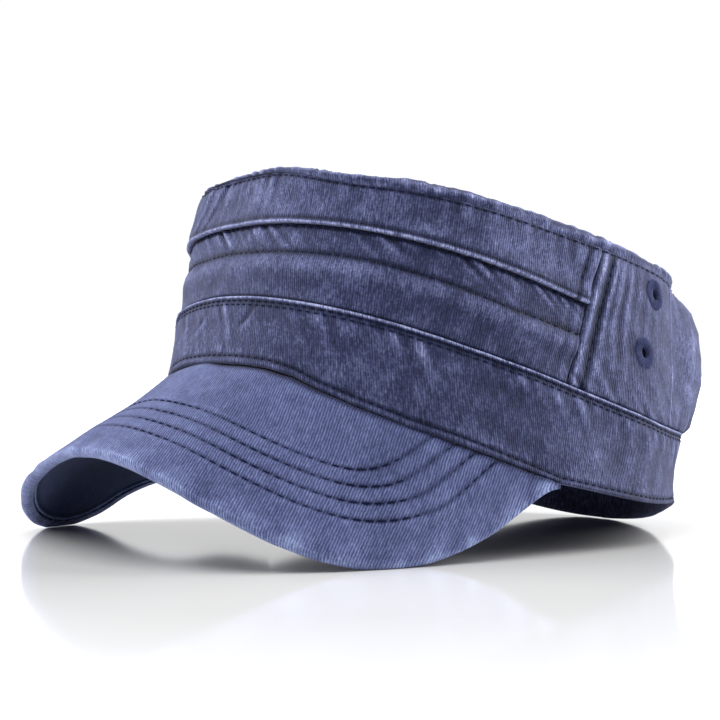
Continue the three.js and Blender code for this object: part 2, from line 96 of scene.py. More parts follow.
@dataclass(frozen=True)
class CapShape:
    """The cap's form, in millimetres, upright, with the band's lower edge at height 0.

    Angles go round the head in radians: 0 is the front and pi / 2 the wearer's left.
    """

    band_length: float = 198.0
    band_width: float = 174.0
    band_squareness: float = 2.2
    top_length: float = 173.0
    top_width: float = 147.0
    top_squareness: float = 2.8
    top_forward: float = 7.0
    crown_front: float = 85.9
    crown_rear: float = 81.5
    crown_dome: float = 3.5
    rear_sag: float = 4.0
    corner_slump: float = 7.0
    band_top_front: float = 46.9
    band_top_side: float = 32.0
    band_top_rear: float = 27.0
    fold_front: float = 0.8345
    fold_side: float = 0.745
    side_seam_top: float = 97.9
    side_seam_bottom: float = 77.4
    rear_seam_top: float = 128.0
    rear_seam_bottom: float = 117.0
    wall_thickness: float = 2.0
    top_thickness: float = 1.8
    seam_gap: float = 0.3
    band_lip: float = 0.9
    band_tuck: float = 4.5
    fold_lip: float = 1.2
    fold_reach: float = 9.0
    tuck_depth: float = 1.1
    roll_drop: float = 16.0
    roll_width: float = 5.0
    tuck_width: float = 4.0
    rear_bulge: float = 12.0
    edge_wall: float = 3.2
    edge_top: float = 6.4
    edge_raise: float = 1.5
    peak_slope: float = 39.9
    peak_corner_turn: float = 80.0
    peak_reach: float = 52.5
    peak_squareness: float = 3.03
    right_squareness: float = 5.4
    peak_seam_rise: float = 23.6
    peak_corner_angle: float = 83.8
    peak_cover: float = 1.2
    peak_lining: float = 0.9
    peak_edge_turn: float = 4.2
    peak_layer_gap: float = 0.95
    peak_seat_gap: float = 0.5
    peak_draw: float = 19.5
    right_ease: float = 0.33
    right_lift: float = 0.0

    def wall_height(self, angle: Array) -> Array:
        """Height of the crown's edge at an angle."""
        return lerp(self.crown_rear, self.crown_front, (1 + np.cos(angle)) / 2)

    def slump(self, angle: Array, share: Array) -> Array:
        """Share of the slump at the crown's right front corner.

        Args:
            angle: Angles round the head.
            share: Shares of the way up the wall.

        Returns:
            The shares.
        """
        away = np.degrees(angle) + 52
        away = away - 360 * np.round(away / 360)
        return bell(away, 27) * smoothstep(share, 0.76, 1)

    def wall(self, angle: Array, height: Array, out: Array = 0.0) -> Array:
        """Points of the wall's outer face.

        Args:
            angle: Angles round the head.
            height: Heights above the band's lower edge.
            out: How far the points are moved outward.

        Returns:
            The points, with x, y and z last.
        """
        angle, height, out = np.broadcast_arrays(angle, height, out)
        share = height / self.wall_height(angle)
        a = lerp(self.band_length, self.top_length, share) / 2
        b = lerp(self.band_width, self.top_width, share) / 2
        n = lerp(self.band_squareness, self.top_squareness, share)
        c, s = np.cos(angle), np.sin(angle)
        reach = (np.abs(c) ** n + np.abs(s) ** n) ** (-1 / n)
        x, y = b * s * reach, -a * c * reach
        nx = np.sign(x) * np.abs(x / b) ** (n - 1) / b
        ny = np.sign(y) * np.abs(y / a) ** (n - 1) / a
        size = np.hypot(nx, ny)
        tuck = self.band_tuck * (1 - smoothstep(height, 0, self.band_top_rear)) * smoothstep(-c, 0.2, 0.8)
        fall = self.corner_slump * self.slump(angle, share)
        move = (out - tuck - fall) / size
        return np.stack([x + nx * move, y - self.top_forward * share + ny * move, height - 0.7 * fall], -1)

    def band_top(self, angle: Array) -> Array:
        """Height of the band's upper edge.

        Args:
            angle: Angles round the head.

        Returns:
            The heights.
        """
        ends = (self.band_top_front + self.band_top_rear) / 2
        lean = (self.band_top_front - self.band_top_rear) / 2
        return ends + lean * np.cos(angle) + (ends - self.band_top_side) * (np.cos(2 * angle) - 1) / 2

    def fold(self, angle: Array) -> Array:
        """Height of the fold across the front."""
        return self.wall_height(angle) * lerp(self.fold_side, self.fold_front, np.cos(angle))

    def lip(self, angle: Array, height: Array) -> Array:
        """How far the cloth over the fold stands out."""
        return self.fold_lip * (1 - smoothstep(height - self.fold(angle), 0, self.fold_reach))

    def roll(self, below: Array) -> Array:
        """How far the cloth under the fold stands out, at distances below the fold."""
        tuck = 0.4 * bell(below, self.tuck_width)
        return self.tuck_depth * (bell(below - self.roll_drop, self.roll_width) - tuck)

    def side_seam(self, share: Array) -> Array:
        """Angle of the slanted side seam at a share of the wall's height."""
        return np.radians(lerp(self.side_seam_bottom, self.side_seam_top, share))

    def rear_seam(self, share: Array) -> Array:
        """Angle of the rear seam at a share of the wall's height."""
        return np.radians(lerp(self.rear_seam_bottom, self.rear_seam_top, share))

    def panel_top(self, angle: Array) -> Array:
        """Height at which the wall's panels end under the edge strip."""
        return self.wall_height(angle) - self.edge_wall - self.seam_gap

    def panel_foot(self, angle: Array) -> Array:
        """Height at which the wall's panels start, over the band's upper edge."""
        return self.band_top(angle) + self.seam_gap

    def peak_seam(self, angle: Array) -> Array:
        """Height of the seam between band and peak, 0 outside the peak.

        Args:
            angle: Angles round the head.

        Returns:
            The heights.
        """
        share = np.abs(angle) / math.radians(self.peak_corner_angle)
        steps = [0.0, 0.15, 0.25, 0.33, 0.4, 0.5, 0.62, 0.72, 0.84, 1.0]
        rises = [1.0, 0.98, 0.937, 0.853, 0.708, 0.547, 0.375, 0.275, 0.15, 0.0]
        return self.peak_seam_rise * np.interp(share, steps, rises)

    def bend(self, u: Array, lift: Array = 0.0, radius: Array | None = None) -> tuple[Array, Array]:
        """Way across and drop of the peak's bent sheet.

        Args:
            u: Distance across the sheet from its crest.
            lift: Distance above the sheet.
            radius: Radius of the bend, or None for the sheet's own.

        Returns:
            The way across and the drop below the crest.
        """
        r = self.bend_radius if radius is None else radius
        return (r + lift) * np.sin(u / r), (r + lift) * np.cos(u / r) - r

    @property
    def corner(self) -> Array:
        """The peak's left corner on the band's lower edge."""
        return self.wall(math.radians(self.peak_corner_angle), 0.0)

    @property
    def bend_radius(self) -> float:
        """Radius of the peak's bend."""
        return float(self.corner[0] / math.sin(math.radians(self.peak_corner_turn)))

    def sheet_over(self, x: Array, y: Array) -> tuple[Array, Array]:
        """The sheet's u and v over a place in plan.

        Args:
            x: Distance across in plan.
            y: Distance along in plan.

        Returns:
            The sheet's u and v.
        """
        tilt = math.radians(self.peak_slope)
        u = self.bend_radius * np.arcsin(np.clip(x / self.bend_radius, -1, 1))
        return u, (-y - self.bend(u)[1] * math.sin(tilt)) / math.cos(tilt)

    def sheet(self, u: Array, v: Array, lift: Array = 0.0, radius: Array | None = None) -> Array:
        """Points of the peak's bent sheet.

        Args:
            u: Distance across the sheet.
            v: Distance down its slope.
            lift: Distance above it.
            radius: Radius of the bend.

        Returns:
            The points, with x, y and z last.
        """
        tilt = math.radians(self.peak_slope)
        cu, cv = self.sheet_over(self.corner[0], self.corner[1])
        base = cv * math.sin(tilt) - self.bend(cu)[1] * math.cos(tilt)
        across, drop = self.bend(u, lift, radius)
        y = -v * math.cos(tilt) - drop * math.sin(tilt)
        z = base - v * math.sin(tilt) + drop * math.cos(tilt)
        return np.stack(np.broadcast_arrays(across, y, z), -1)

    def outline(self, share: Array) -> tuple[Array, Array]:
        """The peak's outer outline on its sheet.

        Args:
            share: Shares of the way along it, from the right corner to the left.

        Returns:
            The sheet's u and v there.
        """
        cu, cv = (float(value) for value in self.sheet_over(self.corner[0], self.corner[1]))
        crest = float(self.sheet_over(0.0, self.wall(0.0, 0.0)[1])[1])
        deep = crest + self.peak_reach - cv
        t = np.linspace(-math.pi / 2, math.pi / 2, 1601)
        power = 2 / np.where(t < 0, self.right_squareness, self.peak_squareness)
        u = cu * np.sign(np.sin(t)) * np.abs(np.sin(t)) ** power
        v = cv + deep * np.abs(np.cos(t)) ** power
        run = np.concatenate([[0.0], np.cumsum(np.hypot(np.diff(u), np.diff(v)))])
        return np.interp(share * run[-1], run, u), np.interp(share * run[-1], run, v)

    def lay(self, points: Array) -> Array:
        """Lays upright points down on the floor, in metres.

        Args:
            points: The places, in millimetres.

        Returns:
            The laid points, in metres.
        """
        laid = points @ np.array(REST_TURN).T + np.array(REST_PLACE)
        laid[..., 2] = np.maximum(laid[..., 2], 0.0)
        return laid * MM


@dataclass(frozen=True)
class PeakRays:
    """Rays across the peak, from the band to its outline, for shares of the way round it."""

    shape: CapShape
    share: Array

    @property
    def angle(self) -> Array:
        """Angle on the band at which each ray starts."""
        return math.radians(self.shape.peak_corner_angle) * (2 * self.share - 1)

    @property
    def start(self) -> tuple[Array, Array]:
        """The sheet's u and v at the band."""
        plan = self.shape.wall(self.angle, 0.0)
        return self.shape.sheet_over(plan[..., 0], plan[..., 1])

    @property
    def length(self) -> Array:
        """Length of each ray on the sheet.

        Returns:
            The lengths.
        """
        u, v = self.start
        ou, ov = self.shape.outline(self.share)
        return np.hypot(ou - u, ov - v)

    def sheet_place(self, inset: Array) -> tuple[Array, Array]:
        """The sheet's u and v at distances in from the outline.

        Args:
            inset: Distances in from the outline.

        Returns:
            The sheet's u and v.
        """
        u, v = (value[:, None] for value in self.start)
        ou, ov = (value[:, None] for value in self.shape.outline(self.share))
        part = np.minimum(1 - inset / self.length[:, None], 1)
        return lerp(u, ou, part), lerp(v, ov, part)

    def points(self, inset: Array, depth: Array) -> Array:
        """Points of the peak.

        Args:
            inset: Distances in from the outline, one row for each ray.
            depth: Depths below the top face.

        Returns:
            The points, with x, y and z last.
        """
        s = self.shape
        inset, depth = np.broadcast_arrays(inset, depth)
        u, v = self.sheet_place(inset)
        away = self.length[:, None] - inset
        cu = float(s.sheet_over(s.corner[0], s.corner[1])[0])
        ease = s.right_ease * smoothstep(-u / cu, 0, 0.6) * smoothstep(away / s.peak_reach, 0, 0.8)
        radius = s.bend_radius / (1 - ease)
        top = s.sheet(u, v, 0.0, radius)
        hang = s.sheet(u, v, -depth, radius) - top
        down = np.stack([0 * depth, 0 * depth, -depth], -1)
        angle = self.angle[:, None]
        foot = s.wall(angle, s.peak_seam(angle))
        draw = foot - s.sheet(*(value[:, None] for value in self.start))
        free = smoothstep(away, 0, s.peak_draw)[..., None]
        place = top + draw * (1 - free) + lerp(down, hang, free)
        side = smoothstep(-u / cu, 0.55, 0.95) * smoothstep(away, 0, 10)
        place[..., 2] += s.right_lift * side * bell(away - 24, 13)
        seat = s.wall(angle, s.peak_seam(angle), -s.wall_thickness) + down
        return np.where((away < 0)[..., None], seat, place)


@dataclass(frozen=True)
class Ripple:
    """Smooth waves round the head or along a seam, the same on every run."""

    seed: int
    shortest: float
    longest: float
    waves: int = 16

    def __call__(self, angle: Array) -> Array:
        """Height of the waves at angles, about -1.5 to 1.5, closed round a full turn.

        Args:
            angle: Angles round the head.

        Returns:
            The heights.
        """
        rng = np.random.default_rng(self.seed)
        lengths = np.exp(rng.uniform(math.log(self.shortest), math.log(self.longest), self.waves))
        turns = np.round(540.0 / lengths)
        phases = rng.uniform(0, 2 * math.pi, self.waves)
        total = sum(np.sin(n * angle + p) for n, p in zip(turns, phases))
        return total / math.sqrt(self.waves / 2)


@dataclass(frozen=True)
class Undulation:
    """Soft hollows and swells in space, the same on every run."""

    seed: int
    shortest: float
    longest: float
    waves: int = 22

    def __call__(self, points: Array) -> Array:
        """Height of the swells at points in millimetres, about -1.5 to 1.5.

        Args:
            points: The places, in millimetres.

        Returns:
            The heights.
        """
        rng = np.random.default_rng(self.seed)
        ways = rng.normal(size=(self.waves, 3))
        ways /= np.linalg.norm(ways, axis=1)[:, None]
        lengths = np.exp(rng.uniform(math.log(self.shortest), math.log(self.longest), self.waves))
        phases = rng.uniform(0, 2 * math.pi, self.waves)
        total = sum(
            np.sin(points @ (way * 2 * math.pi / length) + phase)
            for way, length, phase in zip(ways, lengths, phases)
        )
        return total / math.sqrt(self.waves / 2)


def spread(length: float, step: float, edge: float = 2.0, fine: float = 0.3) -> Array:
    """Places along a length, closer together near both ends.

    Args:
        length: The whole length.
        step: Distance between places in the middle.
        edge: Length of each finer end.
        fine: Distance between places at the ends.

    Returns:
        The places as shares of the length, from 0 to 1.
    """
    ends = np.arange(0, edge, fine)
    middle = np.linspace(edge, length - edge, max(3, round((length - 2 * edge) / step)))
    return np.concatenate([ends, middle, length - ends[::-1]]) / length


def soften(values: Array, reach: int, closed: bool) -> Array:
    """Averages a grid over a square of cells, for what stands proud of its surroundings.

    Args:
        values: The grid.
        reach: Half the square's side, in cells.
        closed: Whether the first axis runs all the way round.

    Returns:
        The averaged grid.
    """
    total = values
    for axis, mode in ((0, "wrap" if closed else "edge"), (1, "edge")):
        pad = [(reach + 1, reach) if k == axis else (0, 0) for k in (0, 1)]
        run = np.cumsum(np.pad(total, pad, mode=mode), axis=axis)
        ahead = np.take(run, range(2 * reach + 1, run.shape[axis]), axis=axis)
        behind = np.take(run, range(0, run.shape[axis] - 2 * reach - 1), axis=axis)
        total = (ahead - behind) / (2 * reach + 1)
    return total


@dataclass
class Cloth:
    """A grid of places on one face of a cloth piece, with its relief, its wear and painted shade in its
    hollows, stitch rows and joins.
    """

    outer: Array
    inner: Array
    wear: Array
    groove_shade: Array
    relief: Array
    closed: bool = False
    hole_centres: Sequence[Array] = ()
    hole_radius: float = 0.0
    weave: Array | None = None
    capped: bool = False

    def build(self, name: str, material: Material, lay: Lay) -> Thing:
        """Makes the mesh of the piece, with its outer face, its inner face and its edges.

        Args:
            name: Name of the piece.
            material: Its finish.
            lay: Lays upright points down in metres.

        Returns:
            The new object.
        """
        n, m = self.outer.shape[:2]
        rows = np.unique(np.linspace(0, m - 1, max(2, self.inner_rows(m))).round().astype(int))
        inner = self.inner[:, rows]
        k = len(rows)
        across = np.linalg.norm(np.diff(self.outer[:, m // 2], axis=0), axis=-1)
        u = np.concatenate([[0.0], np.cumsum(across)])[:, None]
        steps = np.linalg.norm(np.diff(self.outer, axis=1), axis=-1)
        v = np.concatenate([np.zeros((n, 1)), np.cumsum(steps, axis=1)], 1)
        uv = np.stack(np.broadcast_arrays(u, v - v[:, -1:]), -1) if self.weave is None else self.weave
        points = np.concatenate([self.outer.reshape(-1, 3), inner.reshape(-1, 3)])
        span = np.arange(n if self.closed else n - 1)
        after = (span + 1) % n

        def quads(first: int, width: int, flip: bool) -> Array:
            """Faces of a grid that starts at a vertex.

            Args:
                first: The grid's first vertex.
                width: Vertices in each of its rows.
                flip: Whether the faces look the other way.

            Returns:
                The faces.
            """
            row = np.arange(width - 1)
            a = first + span[:, None] * width + row
            b = first + after[:, None] * width + row
            cells = np.stack([a, b, b + 1, a + 1], -1)
            return cells.reshape(-1, 4)[:, ::-1] if flip else cells.reshape(-1, 4)

        front = quads(0, m, False)
        back = quads(n * m, k, True)
        if len(self.hole_centres):
            front = self.pierced(front, points)
            back = self.pierced(back, points)
        rim, back_rim = span * m, n * m + span * k
        next_rim, next_back_rim = after * m, n * m + after * k
        faces = [front, back, np.stack([rim, back_rim, next_back_rim, next_rim], -1)]
        if self.capped:
            ring = np.arange(n)
            faces += [(ring * m + m - 1)[None], (n * m + ring[::-1] * k + k - 1)[None]]
        else:
            outer_end, inner_end = m - 1, k - 1
            high = [rim + outer_end, next_rim + outer_end, next_back_rim + inner_end, back_rim + inner_end]
            faces.append(np.stack(high, -1))
        if not self.closed:
            for col, turned in ((0, False), (n - 1, True)):
                first = n * m + col * k
                for i in range(k - 1):
                    edge = range(col * m + rows[i], col * m + rows[i + 1] + 1)
                    fan = [first + i, *edge, first + i + 1]
                    faces.append(np.array([fan if turned else fan[::-1]]))
        lists = [face for group in faces for face in group.tolist()]
        # crest: cloth raised above its surroundings is paler, partly wear and partly a painted highlight;
        # cloth sunk below them is darker, painted shade in the hollows.
        crest = np.clip((self.relief - soften(self.relief, 6, self.closed)) / 0.35, -1, 1)
        masks = {"wear": self.wear, "groove_shade": self.groove_shade, "crest": crest}
        blank, inner_blank = np.zeros((n, m)), np.zeros(n * k)
        padded = {}
        for key, value in masks.items():
            padded[key] = np.concatenate([(value + blank).ravel(), inner_blank])
        flat = np.concatenate([uv.reshape(-1, 2), uv[:, rows].reshape(-1, 2)]) * MM
        return add_piece(name, lay(points), lists, material, flat, padded)

    def inner_rows(self, rows: int) -> int:
        """Number of rows on the plainer inner face."""
        return rows // 5

    def pierced(self, faces: Array, points: Array) -> Array:
        """Leaves out the faces within the eyelets' holes.

        Args:
            faces: Faces as vertex numbers.
            points: The places, in millimetres.

        Returns:
            The faces that stay.
        """
        middle = points[faces].mean(1)
        keep = np.ones(len(faces), bool)
        for centre in self.hole_centres:
            keep &= np.linalg.norm(middle - centre, axis=1) > self.hole_radius
        return faces[keep]


def add_piece(
    name: str,
    points: Array,
    faces: Sequence[Sequence[int]],
    material: Material,
    uv: Array | None = None,
    masks: dict[str, Array] | None = None,
) -> Thing:
    """Adds a smooth-shaded mesh that faces outward.

    Args:
        name: Name of the piece.
        points: Its vertices, in metres.
        faces: Its faces, as vertex numbers.
        material: Its finish.
        uv: A place on the cloth for each vertex, in metres.
        masks: Named values for each vertex.

    Returns:
        The new object.
    """
    mesh = bpy.data.meshes.new(name)
    mesh.from_pydata(points.tolist(), [], faces)
    mesh.materials.append(material)
    mesh.polygons.foreach_set("use_smooth", np.ones(len(mesh.polygons), bool))
    corners = np.zeros(len(mesh.loops), np.int32)
    mesh.loops.foreach_get("vertex_index", corners)
    if uv is not None:
        mesh.uv_layers.new(name="cloth").data.foreach_set("uv", uv[corners].astype(np.float32).ravel())
    for key, values in (masks or {}).items():
        mesh.attributes.new(key, "FLOAT", "POINT").data.foreach_set("value", values.astype(np.float32))
    mesh.update()
    piece = bpy.data.objects.new(name, mesh)
    bpy.context.scene.collection.objects.link(piece)
    return piece


class NodeSheet:
    """A short way of wiring a material's nodes."""

    def __init__(self, name: str) -> None:
        """Starts an empty material.

        Args:
            name: Name of the material.
        """
        self.material = bpy.data.materials.new(name)
        self.material.use_nodes = True
        self.tree = self.material.node_tree
        self.tree.nodes.clear()

    def add(
        self, kind: str, inputs: dict[str | int, object] | None = None, **settings: object,
    ) -> bpy.types.Node:
        """Adds a node.

        Args:
            kind: The node's type.
            inputs: Values or sockets for its inputs.
            settings: Values for its own properties.

        Returns:
            The node.
        """
        node = self.tree.nodes.new(kind)
        for key, value in settings.items():
            setattr(node, key, value)
        for key, value in (inputs or {}).items():
            if isinstance(value, Socket):
                self.tree.links.new(value, node.inputs[key])
            else:
                node.inputs[key].default_value = value
        return node

    def math(self, operation: str, first: object, second: object = 0.0, third: object = 0.0) -> Socket:
        """Result of a sum on sockets or numbers."""
        values = {0: first, 1: second, 2: third}
        return self.add("ShaderNodeMath", values, operation=operation).outputs[0]

    def weigh(self, base: float, terms: Sequence[tuple[float, Socket]]) -> Socket:
        """A base value plus weighted sockets.

        Args:
            base: The value to start from.
            terms: Weights, each with its socket.

        Returns:
            The sum's socket.
        """
        total: object = base
        for weight, socket in terms:
            total = self.math("MULTIPLY_ADD", socket, weight, total)
        return total

    def mask(self, name: str) -> Socket:
        """A named value of the mesh."""
        return self.add("ShaderNodeAttribute", attribute_name=name).outputs["Fac"]

    def noise(self, place: Socket, scale: float, detail: float = 2.0, rough: float = 0.5) -> Socket:
        """Cloudy noise about zero, from -0.5 to 0.5."""
        inputs = {"Vector": place, "Scale": scale, "Detail": detail, "Roughness": rough}
        return self.math("SUBTRACT", self.add("ShaderNodeTexNoise", inputs).outputs["Fac"], 0.5)


def linear(code: str) -> tuple[float, float, float, float]:
    """A colour written as six hex digits, as linear light.

    Args:
        code: The six hex digits.

    Returns:
        Red, green, blue and alpha.
    """
    shares = [int(code[i:i + 2], 16) / 255 for i in (0, 2, 4)]
    light = [c / 12.92 if c <= 0.04045 else ((c + 0.055) / 1.055) ** 2.4 for c in shares]
    return (*light, 1.0)


class Lean(Enum):
    """Which way the twill's ridges lean, in degrees from the cloth's length."""

    CROWN = -8.0
    PEAK = 26.0
    LINING = 40.0


@dataclass(frozen=True)
class WashedTwill:
    """Garment-washed cotton twill: ridges, fibre speckle, clouds of fading, pale worn edges, and painted
    shade in hollows, stitch rows and joins.
    """

    name: str
    deep: str
    ground: str
    faded: str
    worn: str
    lean: Lean
    pitch: float = 0.84
    ridge: float = 0.14
    speckle: float = 1.1
    clouds: float = 0.45
    washes: float = 0.35
    tone: float = 0.42
    sheen: float = 0.2
    bump: float = 0.6

    def build(self) -> Material:
        """Wires the material.

        Returns:
            The material.
        """
        sheet = NodeSheet(self.name)
        cloth = sheet.add("ShaderNodeUVMap", uv_map="cloth").outputs["UV"]
        place = sheet.add("ShaderNodeTexCoord").outputs["Object"]
        turned = sheet.add(
            "ShaderNodeMapping",
            {"Vector": cloth, "Rotation": (0.0, 0.0, math.radians(self.lean.value))},
        ).outputs[0]
        ridges = sheet.add(
            "ShaderNodeTexWave",
            {"Vector": turned, "Scale": 0.314 / (self.pitch * MM), "Distortion": 2.2, "Detail": 2.0,
             "Detail Scale": 1.6, "Detail Roughness": 0.6},
            wave_type="BANDS", bands_direction="X", wave_profile="SIN",
        ).outputs["Fac"]
        ridges = sheet.math("SUBTRACT", ridges, 0.5)
        streaked = sheet.add("ShaderNodeMapping", {"Vector": turned, "Scale": (1.0, 0.28, 1.0)}).outputs[0]
        fibre = sheet.noise(streaked, 1 / (0.9 * MM), 3.0, 0.65)
        grain = sheet.noise(cloth, 1 / (0.95 * MM), 2.0, 0.7)
        cloud = sheet.noise(place, 1 / (7.0 * MM), 4.0, 0.6)
        wash = sheet.noise(place, 1 / (38.0 * MM), 3.0, 0.5)
        wear, groove_shade, crest = sheet.mask("wear"), sheet.mask("groove_shade"), sheet.mask("crest")
        rubbed = sheet.math("MULTIPLY", wear, sheet.weigh(0.85, [(1.1, fibre), (0.7, cloud)]))
        # The shade mask darkens the colour as painted shade; the crest mask pales raised cloth (wear and a
        # painted highlight) and darkens sunk cloth (painted shade).
        tone = sheet.weigh(self.tone, [
            (self.ridge, ridges), (self.speckle * 0.8, fibre), (self.speckle * 0.5, grain),
            (self.clouds, cloud), (self.washes, wash), (0.62, rubbed), (0.16, crest), (-0.42, groove_shade),
        ])
        ramp = sheet.add("ShaderNodeValToRGB", {"Fac": tone})
        stops = ramp.color_ramp.elements
        stops[0].position, stops[0].color = 0.0, linear(self.deep)
        stops[1].position, stops[1].color = 1.0, linear(self.worn)
        for position, code in ((0.4, self.ground), (0.72, self.faded)):
            stops.new(position).color = linear(code)
        height = sheet.weigh(0.0, [(0.7, ridges), (0.8, fibre), (0.35, grain)])
        bump = sheet.add("ShaderNodeBump", {"Height": height, "Strength": self.bump, "Distance": 0.32 * MM})
        shader = sheet.add("ShaderNodeBsdfPrincipled", {
            "Base Color": ramp.outputs["Color"], "Roughness": 0.88, "Normal": bump.outputs[0],
            "Sheen Weight": self.sheen, "Sheen Roughness": 0.45, "Specular IOR Level": 0.12,
            "Sheen Tint": (0.7, 0.72, 0.95, 1.0),
        })
        sheet.add("ShaderNodeOutputMaterial", {"Surface": shader.outputs[0]})
        return sheet.material


@dataclass(frozen=True)
class SewingThread:
    """Dark twisted thread."""

    name: str
    dark: str
    light: str

    def build(self) -> Material:
        """Wires the material.

        Returns:
            The material.
        """
        sheet = NodeSheet(self.name)
        place = sheet.add("ShaderNodeTexCoord").outputs["Object"]
        fuzz = sheet.noise(place, 1 / (0.5 * MM), 2.0, 0.6)
        patch = sheet.noise(place, 1 / (9.0 * MM), 2.0, 0.5)
        ramp = sheet.add("ShaderNodeValToRGB", {"Fac": sheet.weigh(0.4, [(1.0, fuzz), (0.9, patch)])})
        stops = ramp.color_ramp.elements
        stops[0].color, stops[1].color = linear(self.dark), linear(self.light)
        bump = sheet.add("ShaderNodeBump", {"Height": fuzz, "Strength": 0.4, "Distance": 0.15 * MM})
        shader = sheet.add("ShaderNodeBsdfPrincipled", {
            "Base Color": ramp.outputs["Color"], "Roughness": 0.85, "Normal": bump.outputs[0],
            "Specular IOR Level": 0.1,
        })
        sheet.add("ShaderNodeOutputMaterial", {"Surface": shader.outputs[0]})
        return sheet.material


@dataclass(frozen=True)
class Finishes:
    """The finishes of the cap."""

    crown: WashedTwill = WashedTwill("crown_twill", "0e1122", "323756", "62688f", "a0a7cc", Lean.CROWN)
    peak: WashedTwill = WashedTwill(
        "peak_twill", "1a1e38", "444b72", "707aa4", "98a8d0", Lean.PEAK,
        pitch=0.92, ridge=0.3, speckle=0.75, clouds=0.32, washes=0.3, tone=0.41,
    )
    under: WashedTwill = WashedTwill(
        "peak_lining", "1a2140", "323d60", "485684", "8296c0", Lean.LINING,
        ridge=0.1, speckle=0.3, clouds=0.3, washes=0.3, sheen=0.08,
    )
    thread: SewingThread = SewingThread("navy_thread", "060a1c", "1a2348")
    eyelet: SewingThread = SewingThread("eyelet_thread", "161b36", "555c86")


@dataclass(frozen=True)
class Stitches:
    """Thread stitches laid along paths on the cloth."""

    pitch: float = 3.3
    length: float = 2.5
    radius: float = 0.36
    sunk: float = 0.12

    def along(self, path: Array, normals: Array) -> tuple[Array, list[list[int]]]:
        """Stitches along one path.

        Args:
            path: Points of the path, close together.
            normals: Outward directions of the cloth there.

        Returns:
            The vertices and faces of all the stitches.
        """
        run = np.concatenate([[0.0], np.cumsum(np.linalg.norm(np.diff(path, axis=0), axis=1))])
        count = max(1, int(run[-1] // self.pitch))
        pitch = run[-1] / count
        middles = (np.arange(count) + 0.5) * pitch
        t = np.array([-1.0, -0.72, 0.0, 0.72, 1.0])
        at = middles[:, None] + t * self.length / 2

        def read(values: Array) -> Array:
            """Values of the path at the stitches' rings."""
            return np.stack([np.interp(at, run, values[:, k]) for k in range(3)], -1)

        normal = read(normals)
        normal /= np.linalg.norm(normal, axis=-1, keepdims=True)
        ahead = np.stack([np.gradient(path[:, k], run) for k in range(3)], -1)
        ahead = read(ahead)
        ahead /= np.linalg.norm(ahead, axis=-1, keepdims=True)
        side = np.cross(normal, ahead)
        lift = self.radius * (0.55 - 1.0 * t ** 2) - self.sunk
        centre = read(path) + normal * lift[None, :, None]
        thick = self.radius * np.array([0.35, 0.86, 1.0, 0.86, 0.35])
        turn = np.linspace(0, 2 * math.pi, 7)[:-1]
        ring = (
            centre[:, :, None]
            + side[:, :, None] * (np.cos(turn)[:, None] * thick[None, :, None, None])
            + normal[:, :, None] * (np.sin(turn)[:, None] * thick[None, :, None, None])
        )
        faces: list[list[int]] = []
        for i in range(count):
            base = i * 30
            for j in range(4):
                for k in range(6):
                    a, b = base + j * 6 + k, base + j * 6 + (k + 1) % 6
                    faces.append([a, b, b + 6, a + 6])
            faces.append([base + k for k in range(5, -1, -1)])
            faces.append([base + 24 + k for k in range(6)])
        return ring.reshape(-1, 3), faces


@dataclass
class ThreadWork:
    """All the stitches of one sub-assembly, gathered into one piece."""

    name: str
    points: list[Array] = field(default_factory=list)
    faces: list[list[int]] = field(default_factory=list)
    count: int = 0

    def sew(self, stitches: Stitches, path: Array, normals: Array) -> None:
        """Adds a row of stitches.

        Args:
            stitches: Size of the stitches.
            path: Points of the row, upright, in millimetres.
            normals: Outward directions of the cloth there.
        """
        points, faces = stitches.along(path, normals)
        self.faces.extend([i + self.count for i in face] for face in faces)
        self.points.append(points)
        self.count += len(points)

    def build(self, material: Material, lay: Lay) -> Thing:
        """Makes the piece and fastens it to the cap.

        Args:
            material: The finish.
            lay: Lays upright points down in metres.

        Returns:
            The new piece.
        """
        piece = add_piece(self.name, lay(np.concatenate(self.points)), self.faces, material)
        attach(piece, "root")
        return piece


@dataclass(frozen=True)
class WornShape(CapShape):
    """The form as worn and washed: the cloth's slack moves it a little off the plain solids."""

    edge_wall: float = 0.1
    edge_raise: float = 4.2
    edge_raise_right: float = 0.5
    corner_fill: float = 5.5
    front_rise: float = 4.4
    rear_draw: float = 3.4
    rear_rise: float = 4.0
    hem_right: float = 7.0
    hem_left: float = 5.0
    side_puff: float = 5.0
    right_lift: float = 6.5
    peak_seat_gap: float = 0.1

    def wall(self, angle: Array, height: Array, out: Array = 0.0) -> Array:
        """Points of the wall's outer face, moved by the cloth's slack.

        Args:
            angle: Angles round the head.
            height: Heights above the band's lower edge.
            out: How far the points are moved outward.

        Returns:
            The points, with x, y and z last.
        """
        angle, height, out = np.broadcast_arrays(angle, height, out)
        share = height / self.wall_height(angle)
        turn = np.degrees(angle)
        turn = turn - 360 * np.round(turn / 360)
        fill = self.corner_fill * self.slump(angle, share)
        draw = self.rear_draw * smoothstep(np.abs(turn), 112, 142) * smoothstep(height, -12, 25)
        ease = smoothstep(share, 0.6, 0.93) * (1 - 0.5 * smoothstep(share, 0.93, 1))
        puff = self.side_puff * bell(turn + 62, 34) * ease
        place = super().wall(angle, height, out + fill + puff - draw)
        front = (1 - smoothstep(turn, 10, 40)) * smoothstep(turn, -80, -30) * smoothstep(share, 0.84, 1)
        belt = smoothstep(height, 4, 25) * (1 - smoothstep(height, 30, 60))
        rear = self.rear_rise * smoothstep(np.abs(turn), 112, 145) * belt
        low = 1 - smoothstep(height, 0, 20)
        hem = low * (self.hem_right * bell(turn + 128, 28) + self.hem_left * bell(turn - 136, 19))
        place[..., 2] += 0.7 * fill + self.front_rise * front + rear + hem
        return place


class Zone(Enum):
    """The parts of the wall."""

    UPPER = "front_upper_panel"
    LOWER = "front_lower_panel"
    SIDE = "side_panel"
    REAR = "rear_panel"
    BAND = "headband"


